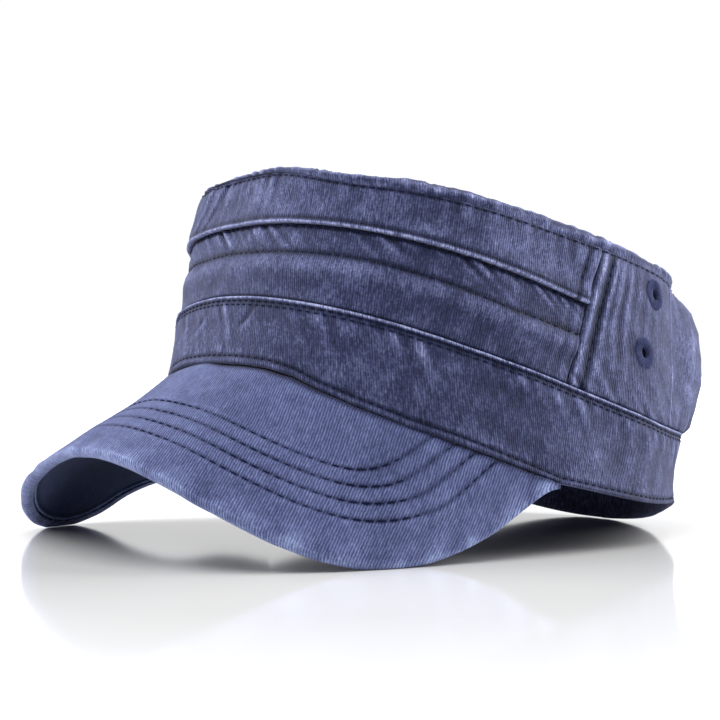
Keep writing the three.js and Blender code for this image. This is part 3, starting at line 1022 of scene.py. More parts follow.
@dataclass(frozen=True)
class WallRows:
    """Places of the wall's stitch rows and creases."""

    shape: CapShape
    fold_row: float = 0.75
    band_row: float = 1.75
    band_second: float = 3.1
    edge_row: float = 0.9
    seam_left: float = 5.2
    seam_right: float = 5.7

    def soft_row(self, angle: Array) -> Array:
        """Height of the single row across the front under the fold.

        Args:
            angle: Angles round the head.

        Returns:
            The heights.
        """
        turn = np.abs(np.degrees(angle))
        turns = [0, 18, 35, 42, 52, 58, 64, 71, 86, 98]
        heights = [62.2, 61.6, 60.6, 59.8, 57.6, 56.5, 55.1, 53.1, 51.1, 50.0]
        return np.interp(turn, turns, heights)

    def base_row(self, angle: Array) -> Array:
        """Height of the row above the band's lower edge."""
        turn = np.abs(np.degrees(angle))
        return self.shape.peak_seam(angle) + np.interp(turn, [0, 60, 85, 110], [2.9, 2.7, 2.0, 1.8])

    def from_side_seam(self, angle: Array, height: Array) -> Array:
        """Distance past the side seam, toward the rear, in millimetres."""
        share = height / self.shape.wall_height(angle)
        return (np.abs(angle) - self.shape.side_seam(share)) * SIDE_RADIUS

    def from_rear_seam(self, angle: Array, height: Array) -> Array:
        """Distance past the rear seam, toward the middle of the rear, in millimetres."""
        share = height / self.shape.wall_height(angle)
        return (np.abs(angle) - self.shape.rear_seam(share)) * CROWN_RADIUS


@dataclass(frozen=True)
class WallRelief:
    """How far the washed cloth stands off the plain wall, and where it is rubbed or shaded."""

    shape: CapShape
    rows: WallRows
    puckers: Ripple = Ripple(11, 5.0, 11.0)
    fine: Ripple = Ripple(12, 3.2, 5.5)
    broad: Undulation = Undulation(13, 26.0, 70.0)
    small: Undulation = Undulation(14, 9.0, 20.0)
    rear_folds: Ripple = Ripple(21, 22.0, 48.0, 8)

    def at(self, zone: Zone, angle: Array, height: Array) -> tuple[Array, Array, Array]:
        """Relief of a part of the wall.

        Args:
            zone: The part.
            angle: Angles round the head.
            height: Heights above the band's lower edge.

        Returns:
            The relief in millimetres, the wear and the shading of grooves.
        """
        plain = self.shape.wall(angle, height)
        swell = 0.32 * self.broad(plain) + 0.1 * self.small(plain)
        part = {
            Zone.UPPER: self.upper, Zone.LOWER: self.lower, Zone.SIDE: self.side,
            Zone.REAR: self.rear, Zone.BAND: self.band,
        }[zone]
        relief, wear, groove_shade = part(angle, height)
        turn = np.degrees(angle)
        if zone in (Zone.UPPER, Zone.LOWER):
            # Darkens the front panels a little from about 45 to 90 degrees toward the wearer's left,
            # through the painted shade mask.
            groove_shade = groove_shade + 0.11 * smoothstep(turn, 45, 68) * (1 - smoothstep(turn, 84, 94))
        return relief + swell, np.clip(wear, 0, 1), np.clip(groove_shade, 0, 1)

    def under_edge(self, angle: Array, height: Array) -> tuple[Array, Array]:
        """Relief and shading of the row under the edge strip.

        Args:
            angle: Angles round the head.
            height: Heights above the band's lower edge.

        Returns:
            The relief and the shading.
        """
        below = self.shape.panel_top(angle) - height
        row = bell(below - self.rows.edge_row, 0.7)
        pinch = self.puckers(angle + 0.03) * np.exp(-below / 6.0)
        return -0.25 * row + 0.16 * pinch, 0.6 * row

    def upper(self, angle: Array, height: Array) -> tuple[Array, Array, Array]:
        """The front above the fold: a pale rolled lip, and slack cloth over it.

        Args:
            angle: Angles round the head.
            height: Heights above the band's lower edge.

        Returns:
            The relief, wear and shading.
        """
        above = height - self.shape.fold(angle)
        cord = lip_cord(angle, CROWN_RADIUS, above)
        lip = bell(above - 0.6, 0.55)
        relief = 0.36 * lip * cord - 0.3 * bell(above - 1.9, 0.7)
        wear = 0.6 * lip * (0.75 + 0.25 * cord)
        # Painted shade in the sunk line just above the pale lip.
        groove_shade = 0.5 * bell(above - 1.9, 0.7)
        edge, shade = self.under_edge(angle, height)
        past = self.rows.from_side_seam(angle, height)
        seam = bell(past + self.rows.seam_left, 0.75)
        relief = relief + edge - 0.4 * seam + 0.3 * bell(past + 2.4, 1.6) - 0.5 * bell(past, 0.7)
        creases = self.creases(angle, height)
        # The wear gets 0.04 more all over, so the whole upper panel is a little paler; the seam beside the
        # side panel gets painted shade.
        return relief + creases, 0.04 + wear + 0.25 * np.maximum(creases, 0), groove_shade + shade + 0.7 * seam

    def creases(self, angle: Array, height: Array) -> Array:
        """Short upright creases where the crown's right front corner has slumped.

        Args:
            angle: Angles round the head.
            height: Heights above the band's lower edge.

        Returns:
            The relief.
        """
        turn = np.degrees(angle)
        up = smoothstep(height, 70, 77) * (1 - smoothstep(height, 83, 88))
        total = 0.0
        for middle, lean, deep in ((-17.0, 0.6, 0.4), (-22.5, 0.5, 0.5), (-30.0, 0.2, 0.35)):
            line = middle + lean * (height - 78)
            total = total + deep * (bell(turn - line, 0.8) - 0.6 * bell(turn - line - 1.8, 1.1))
        return total * up

    def lower(self, angle: Array, height: Array) -> tuple[Array, Array, Array]:
        """The front under the fold: a puckered strip, a row of stitches and a soft roll.

        Args:
            angle: Angles round the head.
            height: Heights above the band's lower edge.

        Returns:
            The relief, wear and shading.
        """
        s = self.shape
        below = s.fold(angle) - height
        off = height - self.rows.soft_row(angle)
        reach = smoothstep(off, 0.3, 3.0)
        top = 1 - smoothstep(below, 6.5, 11.0)
        slant = angle - below * 0.016
        pinch = self.puckers(slant) * np.exp(-below / 7.0)
        row = bell(off, 0.85)
        hem = bell(below - self.rows.fold_row, 0.6)
        patch = 0.35 + 0.65 * np.clip(self.small(self.shape.wall(angle, height)) * 0.6 + 0.5, 0, 1)
        relief = 0.36 * patch * pinch * smoothstep(off, 0.0, 2.0) - 0.5 * row - 0.25 * hem
        relief = relief + 0.45 * bell(off + 4.2, 3.4) + 0.08 * self.fine(slant) * bell(off, 3.0)
        past = self.rows.from_side_seam(angle, height)
        ridges = 0.3 * np.sin(past * 1.35 + 0.5) * np.exp(past / 9.0) * smoothstep(-past, 0.4, 2.0)
        relief = relief + ridges - 0.6 * bell(past, 0.8)
        wear = 0.3 * patch * np.clip(pinch, 0, 1) * top * reach + 0.2 * np.clip(ridges, 0, 1)
        # Painted shade along the soft row, along the fold's row and right under the overhanging fold.
        return relief, wear, 0.55 * row + 0.8 * hem + 0.3 * np.exp(-below / 1.6)

    def side(self, angle: Array, height: Array) -> tuple[Array, Array, Array]:
        """The side behind the slanted seam: long ridges beside it, with painted shade between them, and a
        raised rear edge with a painted highlight.

        Args:
            angle: Angles round the head.
            height: Heights above the band's lower edge.

        Returns:
            The relief, wear and shading.
        """
        past = self.rows.from_side_seam(angle, height)
        short = -self.rows.from_rear_seam(angle, height)
        edge, shade = self.under_edge(angle, height)
        row = bell(past - self.rows.seam_right, 1.0)
        drift = 1.2 * np.sin(height / 9.0) + 0.6 * np.sin(height / 4.3 + 1.0)
        line = past + 0.12 * (height - 50) * smoothstep(past, 4, 20) + drift * smoothstep(past, 5, 12)
        ridges = np.sin(line * 1.15) + 0.6 * np.sin(line * 0.62 + 2.0)
        ridges = ridges * np.exp(-np.maximum(past - 6, 0) / 13.0)
        ridges = ridges * smoothstep(past, 1.0, 5.0) * (0.65 + 0.35 * np.sin(height / 11 + 2))
        base = height - self.shape.panel_foot(angle)
        foot = 0.2 * self.puckers(angle + base * 0.008) * np.exp(-base / 9.0)
        relief = 0.4 * bell(past - 1.5, 1.2) - 0.35 * row + 0.36 * ridges + edge + foot
        relief = relief + 0.45 * bell(short - 0.9, 0.9)
        # The 0.35 term is a painted highlight along the raised rear edge; the hollows between the ridges
        # and the seam row get painted shade.
        wear = 0.3 * bell(past - 1.3, 1.0) + 0.3 * np.clip(ridges, 0, 1.2) + 0.35 * bell(short - 0.8, 0.8)
        groove_shade = 0.6 * row + shade + 0.2 * np.clip(-ridges, 0, 1)
        return relief, wear, groove_shade

    def rear(self, angle: Array, height: Array) -> tuple[Array, Array, Array]:
        """The rear, which hangs over the band in soft upright folds.

        Args:
            angle: Angles round the head.
            height: Heights above the band's lower edge.

        Returns:
            The relief, wear and shading.
        """
        past = self.rows.from_rear_seam(angle, height)
        edge, shade = self.under_edge(angle, height)
        lean = angle + 0.002 * (height - 55)
        folds = self.rear_folds(lean) * smoothstep(past, 3, 14)
        foot = self.shape.band_top(angle)
        share = (height - foot) / (self.shape.panel_top(angle) - foot)
        middle = smoothstep(share, 0.0, 0.3) * (1 - smoothstep(share, 0.75, 1.0))
        crease = bell(past - 13.0 - 0.1 * (height - 55), 1.0)
        crease = crease * smoothstep(share, 0.3, 0.5) * (1 - smoothstep(share, 0.7, 0.9))
        gather = 0.5 * self.puckers(angle) * (1 - smoothstep(share, 0.0, 0.22))
        relief = 0.5 * folds * middle + 0.12 * crease + 0.4 * gather + edge
        return relief, 0.1 * crease + 0.08 * np.clip(folds, 0, 1) * middle, shade

    def band(self, angle: Array, height: Array) -> tuple[Array, Array, Array]:
        """The band: a pale rolled top edge over its stitches, and a welt above the peak.

        Args:
            angle: Angles round the head.
            height: Heights above the band's lower edge.

        Returns:
            The relief, wear and shading.
        """
        s = self.shape
        below = s.band_top(angle) - height
        above = height - s.peak_seam(angle)
        cord = lip_cord(angle, BAND_RADIUS, below)
        lip = bell(below - 0.6, 0.55)
        row = bell(below - self.rows.band_row, 0.55)
        second = bell(below - self.rows.band_second, 0.6)
        off = height - self.rows.base_row(angle)
        foot = bell(off, 0.7)
        slant = angle - below * 0.006
        pinch = self.puckers(slant + 0.2) * smoothstep(below, 1.6, 4.5)
        pinch = pinch * np.exp(-np.maximum(below - 2.5, 0) / 7.5)
        patch = 0.3 + 0.7 * np.clip(self.small(self.shape.wall(angle, height)) * 0.6 + 0.5, 0, 1)
        relief = 0.4 * lip * cord - 0.25 * row - 0.15 * second + 0.22 * patch * pinch - 0.3 * foot
        relief = relief + 0.3 * bell(off + 1.6, 1.2) + 0.07 * self.fine(angle) * bell(off - 1.6, 1.4)
        relief = relief + self.pinches(angle, height)
        wear = 0.6 * lip * (0.75 + 0.25 * cord) + 0.22 * patch * np.clip(pinch, 0, 1)
        wear = wear + 0.12 * bell(off - 1.5, 0.9)
        # Painted shade under the two stitch rows, along the base row and at the seam over the peak; the
        # 0.06 darkens the whole band a little.
        groove_shade = 0.06 + 0.7 * row + 0.35 * second + 0.5 * foot + 0.3 * bell(above, 1.2)
        return relief, wear, groove_shade

    def pinches(self, angle: Array, height: Array) -> Array:
        """Slanted pinches in the front of the band, over the peak.

        Args:
            angle: Angles round the head.
            height: Heights above the band's lower edge.

        Returns:
            The relief.
        """
        total = 0.0
        folds = ((12.0, 39.0, 0.9, 5.0, 1.0), (-8.0, 38.0, 0.9, 4.5, 0.8), (-22.0, 33.0, 0.7, 6.0, 0.7))
        for turn, level, lean, reach, deep in folds:
            across = (np.degrees(angle) - turn) * 1.45
            up = height - level
            along = (across + up * lean) / math.hypot(1, lean)
            away = (up - across * lean) / math.hypot(1, lean)
            profile = 0.8 * bell(away + 1.6, 1.5) - bell(away, 1.2)
            total = total + 0.6 * deep * bell(along, reach) * profile
        return total


@dataclass(frozen=True)
class Eyelet:
    """An embroidered eyelet in a side panel."""

    name: str
    angle: float
    share: float
    side: int
    width: float = 11.0
    hole: float = 4.2
    rise: float = 0.5
    threads: int = 34

    def frame(self, shape: CapShape, out: float = 0.0) -> tuple[Array, Array, Array, Array]:
        """Centre, across, up and outward directions on the wall.

        Args:
            shape: The cap's form.
            out: How far the points are moved outward.

        Returns:
            The centre and the three directions.
        """
        turn = self.side * math.radians(self.angle)
        height = self.share * float(shape.wall_height(turn))
        centre = shape.wall(turn, height, out)
        along = shape.wall(turn + 0.01, height) - shape.wall(turn - 0.01, height)
        up = shape.wall(turn, height + 1) - shape.wall(turn, height - 1)
        along, up = along / np.linalg.norm(along), up / np.linalg.norm(up)
        normal = np.cross(along, up)
        normal /= np.linalg.norm(normal)
        return centre, np.cross(up, normal), up, normal

    def build(self, shape: CapShape, material: Material) -> Thing:
        """Makes the ring of buttonhole thread with its barrel.

        Args:
            shape: The cap's form.
            material: The thread's finish.

        Returns:
            The new piece.
        """
        centre, across, up, normal = self.frame(shape)
        inner, rim = self.hole / 2, self.width / 2
        levels = [
            (inner, -2.0, 0.0), (inner, 0.2, 0.1), (inner + 0.25, 0.75, 0.5),
            (lerp(inner, rim, 0.25), 1.05, 1.0), (lerp(inner, rim, 0.5), 1.1, 1.0),
            (lerp(inner, rim, 0.75), 0.95, 1.0), (rim - 0.35, 0.7, 1.0),
            (rim, 0.35, 0.8), (rim + 0.1, -0.1, 0.3),
        ]
        turns = np.linspace(0, 2 * math.pi, self.threads * 4 + 1)[:-1]
        rng = np.random.default_rng(5 + self.side + int(self.angle))
        ragged = np.repeat(rng.uniform(-0.28, 0.28, self.threads), 4)
        ridge = 0.16 * np.cos(turns * self.threads)
        points = []
        for radius, height, share in levels:
            reach = radius + ragged * (radius > rim - 0.5)
            lift = height * (self.rise / 0.9) + ridge * share
            ring = centre + reach[:, None] * (np.cos(turns)[:, None] * across + np.sin(turns)[:, None] * up)
            points.append(ring + lift[:, None] * normal)
        n = len(turns)
        faces = [
            [j * n + i, j * n + (i + 1) % n, (j + 1) * n + (i + 1) % n, (j + 1) * n + i]
            for j in range(len(levels) - 1) for i in range(n)
        ]
        name = f"eyelet_{self.name}_embroidery"
        piece = add_piece(name, shape.lay(np.concatenate(points)), faces, material)
        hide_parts(f"eyelet_{self.name}")
        return piece


@dataclass(frozen=True)
class CrownWall:
    """The crown's wall and the headband, each panel a sewn cloth piece."""

    shape: CapShape
    rows: WallRows
    relief: WallRelief
    finishes: Finishes
    column: float = 0.8
    row: float = 0.85
    probe: float = 0.35
    probe_radius: float = 85.0
    eyelet_clear: float = 2.6
    upper_size: tuple[float, float] = (262.0, 14.5)
    lower_size: tuple[float, float] = (270.0, 27.0)
    side_size: tuple[float, float] = (56.0, 52.0)
    rear_size: tuple[float, float] = (150.0, 54.0)
    band_height: float = 36.0
    band_columns: int = 700
    fine_stitches: Stitches = Stitches(3.3, 2.6, 0.36, 0.1)
    plain_stitches: Stitches = Stitches(3.2, 2.3, 0.32, 0.12)

    def places(self, zone: Zone, side: int, across: Array, up: Array) -> tuple[Array, Array]:
        """Angles and heights of a panel's grid.

        Args:
            zone: The part of the wall.
            side: 1 for the wearer's left and -1 for the right, for a side panel.
            across: Shares of the way across it.
            up: Shares of the way up it.

        Returns:
            The angles and heights.
        """
        s = self.shape
        half = s.seam_gap / s.top_width
        start, end = {
            Zone.SIDE: (lambda k: side * (s.side_seam(k) + half), lambda k: side * (s.rear_seam(k) - half)),
            Zone.REAR: (lambda k: s.rear_seam(k) + half, lambda k: 2 * math.pi - s.rear_seam(k) - half),
        }.get(zone, (lambda k: half - s.side_seam(k), lambda k: s.side_seam(k) - half))
        low = (lambda a: s.fold(a) + s.seam_gap / 2) if zone is Zone.UPPER else s.panel_foot
        high = (lambda a: s.fold(a) - s.seam_gap / 2) if zone is Zone.LOWER else s.panel_top
        across, up = across[:, None], up[None, :]
        angle = lerp(start(0.5), end(0.5), across) + 0 * up
        height = angle
        for _ in range(5):
            height = lerp(low(angle), high(angle), up)
            share = height / s.wall_height(angle)
            angle = lerp(start(share), end(share), across)
        return angle, height

    def offset(self, zone: Zone, angle: Array, height: Array, across: Array, up: Array) -> Array:
        """How far the plain solid's outer face stands off the wall.

        Args:
            zone: The part of the wall.
            angle: Angles round the head.
            height: Heights above the band's lower edge.
            across: Shares of the way across.
            up: Shares of the way up.

        Returns:
            The distances.
        """
        s = self.shape
        if zone is Zone.UPPER:
            return s.lip(angle, height)
        if zone is Zone.LOWER:
            return s.roll(s.fold(angle) - height)
        if zone is Zone.REAR:
            steps = [0.0, 0.05, 0.2, 0.4, 0.6, 0.78, 0.9, 0.96, 1.0]
            shares = [0.15, 0.36, 0.6, 0.85, 1.0, 1.0, 0.8, 0.5, 0.1]
            edge = np.minimum(across, 1 - across)[:, None]
            return s.rear_bulge * np.interp(up, steps, shares)[None, :] * smoothstep(edge, 0, 0.16)
        return np.zeros_like(angle)

    def surface(self, zone: Zone, angle: Array, height: Array, out: Array) -> Array:
        """Points of the dressed face."""
        return self.shape.wall(angle, height, out + self.relief.at(zone, angle, height)[0])

    def panel(
        self, zone: Zone, node: str, side: int, length: float, tall: float, material: Material,
        eyelets: Sequence[Eyelet] = (),
    ) -> Thing:
        """Makes one panel.

        Args:
            zone: The part of the wall.
            node: The solid that it stands for.
            side: 1 or -1 for a side panel.
            length: Its length across, for the grid.
            tall: Its height, for the grid.
            material: Its finish.
            eyelets: Eyelets that pierce it.

        Returns:
            The new piece.
        """
        s = self.shape
        across, up = spread(length, self.column), spread(tall, self.row)
        angle, height = self.places(zone, side, across, up)
        relief, wear, groove_shade = self.relief.at(zone, angle, height)
        near = np.minimum(up * tall, tall * (1 - up))[None, :] + 0 * angle
        near = np.minimum(near, (np.minimum(across, 1 - across) * length)[:, None])
        out = self.offset(zone, angle, height, across, up)
        outer = s.wall(angle, height, out + relief - rounding(near))
        inner = s.wall(angle, height, out - s.wall_thickness)
        centres = [eyelet.frame(s)[0] for eyelet in eyelets]
        cloth = Cloth(outer, inner, wear, groove_shade, relief, False, centres, self.eyelet_clear)
        piece = cloth.build(f"{node}_cloth", material, s.lay)
        return dress(piece, node)

    def band(self, material: Material) -> Thing:
        """Makes the headband, closed round the head.

        Args:
            material: The finish.

        Returns:
            The new piece.
        """
        s = self.shape
        angle = np.linspace(-math.pi, math.pi, self.band_columns + 1)[:-1, None]
        up = spread(self.band_height, self.row)[None, :]
        low = s.peak_seam(angle) + s.peak_seat_gap * (np.abs(angle) < math.radians(s.peak_corner_angle))
        high = s.band_top(angle)
        height = lerp(low, high, up)
        angle = angle + 0 * height
        relief, wear, groove_shade = self.relief.at(Zone.BAND, angle, height)
        near = np.minimum(up, 1 - up) * (high - low)
        outer = s.wall(angle, height, s.band_lip * smoothstep(up, 0.6, 0.92) + relief - rounding(near))
        inner = s.wall(angle, height, -s.wall_thickness)
        cloth = Cloth(outer, inner, wear, groove_shade, relief, True)
        return dress(cloth.build("headband_cloth", material, s.lay), "headband")

    def row_path(self, zone: Zone, angle: Array, height: Array, out: Array) -> tuple[Array, Array]:
        """A path of places on the dressed wall with the cloth's outward directions.

        Args:
            zone: The part of the wall.
            angle: Angles round the head.
            height: Heights above the band's lower edge.
            out: How far the points are moved outward.

        Returns:
            The places and the directions.
        """
        here = self.surface(zone, angle, height, out)
        step, turn = self.probe, self.probe / self.probe_radius
        left = self.surface(zone, angle - turn, height, out)
        right = self.surface(zone, angle + turn, height, out)
        low = self.surface(zone, angle, height - step, out)
        high = self.surface(zone, angle, height + step, out)
        normal = np.cross(right - left, high - low)
        return here, normal / np.linalg.norm(normal, axis=-1, keepdims=True)

    def stitching(self, material: Material) -> Thing:
        """Sews the rows of the wall and the band.

        Args:
            material: The finish.

        Returns:
            The new piece.
        """
        s, r = self.shape, self.rows
        work = ThreadWork("wall_stitching")
        fine, plain = self.fine_stitches, self.plain_stitches
        round_head = np.linspace(-math.pi, math.pi, 1401)
        full = s.side_seam(0.8) - 0.02
        front = np.linspace(-full, full, 900)
        height = s.fold(front) - r.fold_row
        out = s.tuck_depth * -0.4 * bell(r.fold_row, 4) + 0.25
        work.sew(fine, *self.row_path(Zone.LOWER, front, height, out + 0 * front))
        front = np.linspace(-s.side_seam(0.62) + 0.01, s.side_seam(0.62) - 0.01, 900)
        height = r.soft_row(front)
        out = s.roll(s.fold(front) - height)
        work.sew(plain, *self.row_path(Zone.LOWER, front, height, out))
        for drop, stitches in ((r.band_row, fine), (r.band_second, plain)):
            height = s.band_top(round_head) - drop
            low = s.peak_seam(round_head)
            lip = s.band_lip * smoothstep((height - low) / (s.band_top(round_head) - low), 0.6, 0.92)
            work.sew(stitches, *self.row_path(Zone.BAND, round_head, height, lip))
        work.sew(plain, *self.row_path(Zone.BAND, round_head, r.base_row(round_head), 0 * round_head))
        for side in (1, -1):
            up = np.linspace(0.83, 0.95, 60)
            angle = side * (s.side_seam(up) - r.seam_left / CROWN_RADIUS)
            height = up * s.wall_height(angle)
            work.sew(plain, *self.row_path(Zone.UPPER, angle, height, s.lip(angle, height)))
            up = np.linspace(0.39, 0.955, 200)
            angle = side * (s.side_seam(up) + r.seam_right / CROWN_RADIUS)
            work.sew(plain, *self.row_path(Zone.SIDE, angle, up * s.wall_height(angle), 0 * up))
        for zone, start, end in (
            (Zone.UPPER, -s.side_seam(0.95), s.side_seam(0.95)),
            (Zone.SIDE, s.side_seam(0.95), s.rear_seam(0.95)),
            (Zone.SIDE, -s.rear_seam(0.95), -s.side_seam(0.95)),
            (Zone.REAR, s.rear_seam(0.95), 2 * math.pi - s.rear_seam(0.95)),
        ):
            angle = np.linspace(start + 0.01, end - 0.01, 500)
            height = s.panel_top(angle) - r.edge_row
            out = 0 * angle
            if zone is Zone.REAR:
                up = (height - s.panel_foot(angle)) / (s.panel_top(angle) - s.panel_foot(angle))
                edge = np.minimum(angle - start, end - angle) / (end - start)
                out = s.rear_bulge * np.interp(up, [0.9, 0.96, 1.0], [0.74, 0.45, 0.1])
                out = out * smoothstep(edge, 0, 0.16)
            work.sew(plain, *self.row_path(zone, angle, height, out))
        return work.build(material, s.lay)

    def build(self) -> None:
        """Makes every panel, the band, the eyelets and the stitches."""
        cloth, thread = self.finishes.crown.build(), self.finishes.thread.build()
        embroidery = self.finishes.eyelet.build()
        report(self.panel(Zone.UPPER, "front_upper_panel", 1, *self.upper_size, cloth))
        report(self.panel(Zone.LOWER, "front_lower_panel", 1, *self.lower_size, cloth))
        for side, word in ((1, "left"), (-1, "right")):
            places = (("upper", 115.8, 0.894), ("lower", 110.0, 0.624))
            rings = [Eyelet(f"{word}_{level}", angle, share, side) for level, angle, share in places]
            report(self.panel(Zone.SIDE, f"side_panel_{word}", side, *self.side_size, cloth, rings))
            for ring in rings:
                piece = ring.build(self.shape, embroidery)
                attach(piece, "root")
                report(piece)
        report(self.panel(Zone.REAR, "rear_panel", 1, *self.rear_size, cloth))
        report(self.band(cloth))
        report(self.stitching(thread))


def dress(piece: Thing, node: str) -> Thing:
    """Puts a finished piece in its solid's place.

    Args:
        piece: The piece.
        node: The solid that it stands for.

    Returns:
        The same piece.
    """
    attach(piece, "root")
    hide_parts(node)
    return piece


def report(piece: Thing) -> None:
    """Logs a piece and its number of faces."""
    log.info("%s: %d faces", piece.name, len(piece.data.polygons))


@dataclass(frozen=True)
class CrownTop:
    """The raised, puckered strip round the crown's edge and the flat top inside it."""

    shape: WornShape
    finishes: Finishes
    top_row: float = 3.5
    stitches: Stitches = Stitches(3.2, 2.4, 0.34, 0.05)
    puckers: Ripple = Ripple(31, 4.5, 10.0)
    lengthwise: Undulation = Undulation(32, 4.0, 9.0)
    broad: Undulation = Undulation(33, 24.0, 60.0)

    def edge_point(self, angle: Array, inward: Array, upward: Array) -> Array:
        """Points in from the crown's edge and above or below it.

        Args:
            angle: Angles round the head.
            inward: Distances in from the edge.
            upward: Distances above the edge.

        Returns:
            The points.
        """
        top = self.shape.wall_height(angle)
        place = self.shape.wall(angle, top + np.minimum(upward, 0), -inward)
        place[..., 2] += np.maximum(upward, 0)
        return place

    def rise(self, angle: Array) -> Array:
        """Height of the strip's crest above the wall, lowest at the crown's right front.

        Args:
            angle: Angles round the head.

        Returns:
            The heights.
        """
        s = self.shape
        turn = np.degrees(angle)
        low = bell(turn + 10, 45)
        return lerp(s.edge_raise, s.edge_raise_right, low)

    def section(self, along: Array) -> tuple[Array, Array]:
        """The strip's section from the wall up and over: distance inward, and share of its rise.

        Args:
            along: Shares of the way over the strip.

        Returns:
            The distances and the shares.
        """
        s = self.shape
        steps = [0, 0.06, 0.14, 0.28, 0.42, 0.58, 0.78, 1.0]
        inward = np.interp(along, steps, [0.12, 0.08, -0.02, 0.06, 0.25, 0.48, 0.75, 1.12])
        upward = np.interp(along, steps, [-0.5, -0.1, 0.25, 0.6, 0.87, 1.0, 0.9, 0.35])
        kernel = np.ones(5) / 5
        smooth = [np.convolve(np.pad(value, 2, mode="edge"), kernel, "valid") for value in (inward, upward)]
        return smooth[0] * s.edge_top, smooth[1]

    def strip(self, material: Material) -> tuple[Thing, tuple[Array, Array]]:
        """Makes the edge strip.

        Args:
            material: Its finish.

        Returns:
            The piece, and the path of its row of stitches with the outward directions there.
        """
        s = self.shape
        angle = np.linspace(-math.pi, math.pi, 801)[:-1]
        along = np.linspace(0, 1, 34)
        inward, rise = self.section(along)
        upward = rise[None, :] * self.rise(angle)[:, None]
        base = self.edge_point(angle[:, None], inward[None, :] + 0 * upward, upward)
        ahead = np.roll(base, -1, 0) - np.roll(base, 1, 0)
        over = np.gradient(base, axis=1)
        normal = np.cross(ahead, over)
        normal /= np.linalg.norm(normal, axis=-1, keepdims=True)
        way = inward[None, :] + 0 * angle[:, None]
        row = bell(way - self.top_row, 0.6)
        puff = smoothstep(along, 0.03, 0.2) * (1 - smoothstep(along, 0.9, 1.0))
        squeezed = np.stack([base[..., 0] * 0.35, base[..., 1] * 0.35, base[..., 2] * 1.6 + way * 1.2], -1)
        wrinkle = self.lengthwise(squeezed)
        relief = puff * (0.12 * self.puckers(angle)[:, None] + 0.14 * wrinkle) - 0.3 * row
        relief = relief + 0.3 * self.broad(base) * puff
        relief = relief - 0.4 * (1 - smoothstep(along, 0.0, 0.06)) - 0.3 * smoothstep(along, 0.95, 1.0)
        wear = np.clip(0.05 + 0.16 * wrinkle + 0.1 * self.puckers(angle)[:, None], 0, 1) * puff
        outer = base + normal * relief[..., None]
        inner = base - normal * s.top_thickness * 0.8
        # 0.8 * row is painted shade along the strip's sunk stitch row.
        cloth = Cloth(outer, inner, wear, 0.8 * row, relief, True)
        piece = dress(cloth.build("crown_edge_strip", material, s.lay), "crown_edge")
        index = int(np.argmin(np.abs(inward - self.top_row)))
        path = np.concatenate([outer[:, index], outer[:1, index]])
        lifts = np.concatenate([normal[:, index], normal[:1, index]])
        return piece, (path, lifts)

    def top(self, material: Material) -> Thing:
        """Makes the flat top, a low dome that sags at the rear left.

        Args:
            material: The finish.

        Returns:
            The new piece.
        """
        s = self.shape
        angle = np.linspace(-math.pi, math.pi, 401)[:-1][:, None]
        share = np.concatenate([[1.0, 0.995, 0.985], np.linspace(0.97, 0.02, 70)])[None, :]
        rim = self.edge_point(angle, s.edge_top + s.seam_gap + 0 * angle, 0 * angle)
        middle = np.array([0.0, -s.top_forward, (s.crown_front + s.crown_rear) / 2])
        place = middle + (rim - middle) * share[..., None]
        sag = bell(np.degrees(angle) - 150, 45) * smoothstep(share, 0.2, 0.9)
        lift = s.crown_dome * (1 - share ** 2) - s.rear_sag * sag * (1 - share ** 4)
        gather = self.puckers(angle) * np.exp(-(1 - share) * 9.0)
        relief = 0.2 * gather + 0.5 * self.broad(place) * (1 - share ** 6) - 0.5 * bell(1 - share, 0.012)
        place[..., 2] += lift + 0.5 * self.rise(angle) * share ** 6 + relief
        inner = place.copy()
        inner[..., 2] -= s.top_thickness
        wear = 0.14 * np.clip(gather, 0, 1)
        # Painted shade in the sunk rim where the top meets the edge strip.
        groove_shade = 0.5 * bell(1 - share, 0.012) + 0 * wear
        cloth = Cloth(place, inner, wear, groove_shade, relief, True, weave=place[..., :2], capped=True)
        piece = cloth.build("crown_top_cloth", material, s.lay)
        return dress(piece, "crown_top")

    def build(self) -> None:
        """Makes the strip, the top and the row of stitches between them."""
        cloth, thread = self.finishes.crown.build(), self.finishes.thread.build()
        piece, row = self.strip(cloth)
        report(piece)
        report(self.top(cloth))
        work = ThreadWork("crown_edge_stitching")
        work.sew(self.stitches, *row)
        report(work.build(thread, self.shape.lay))


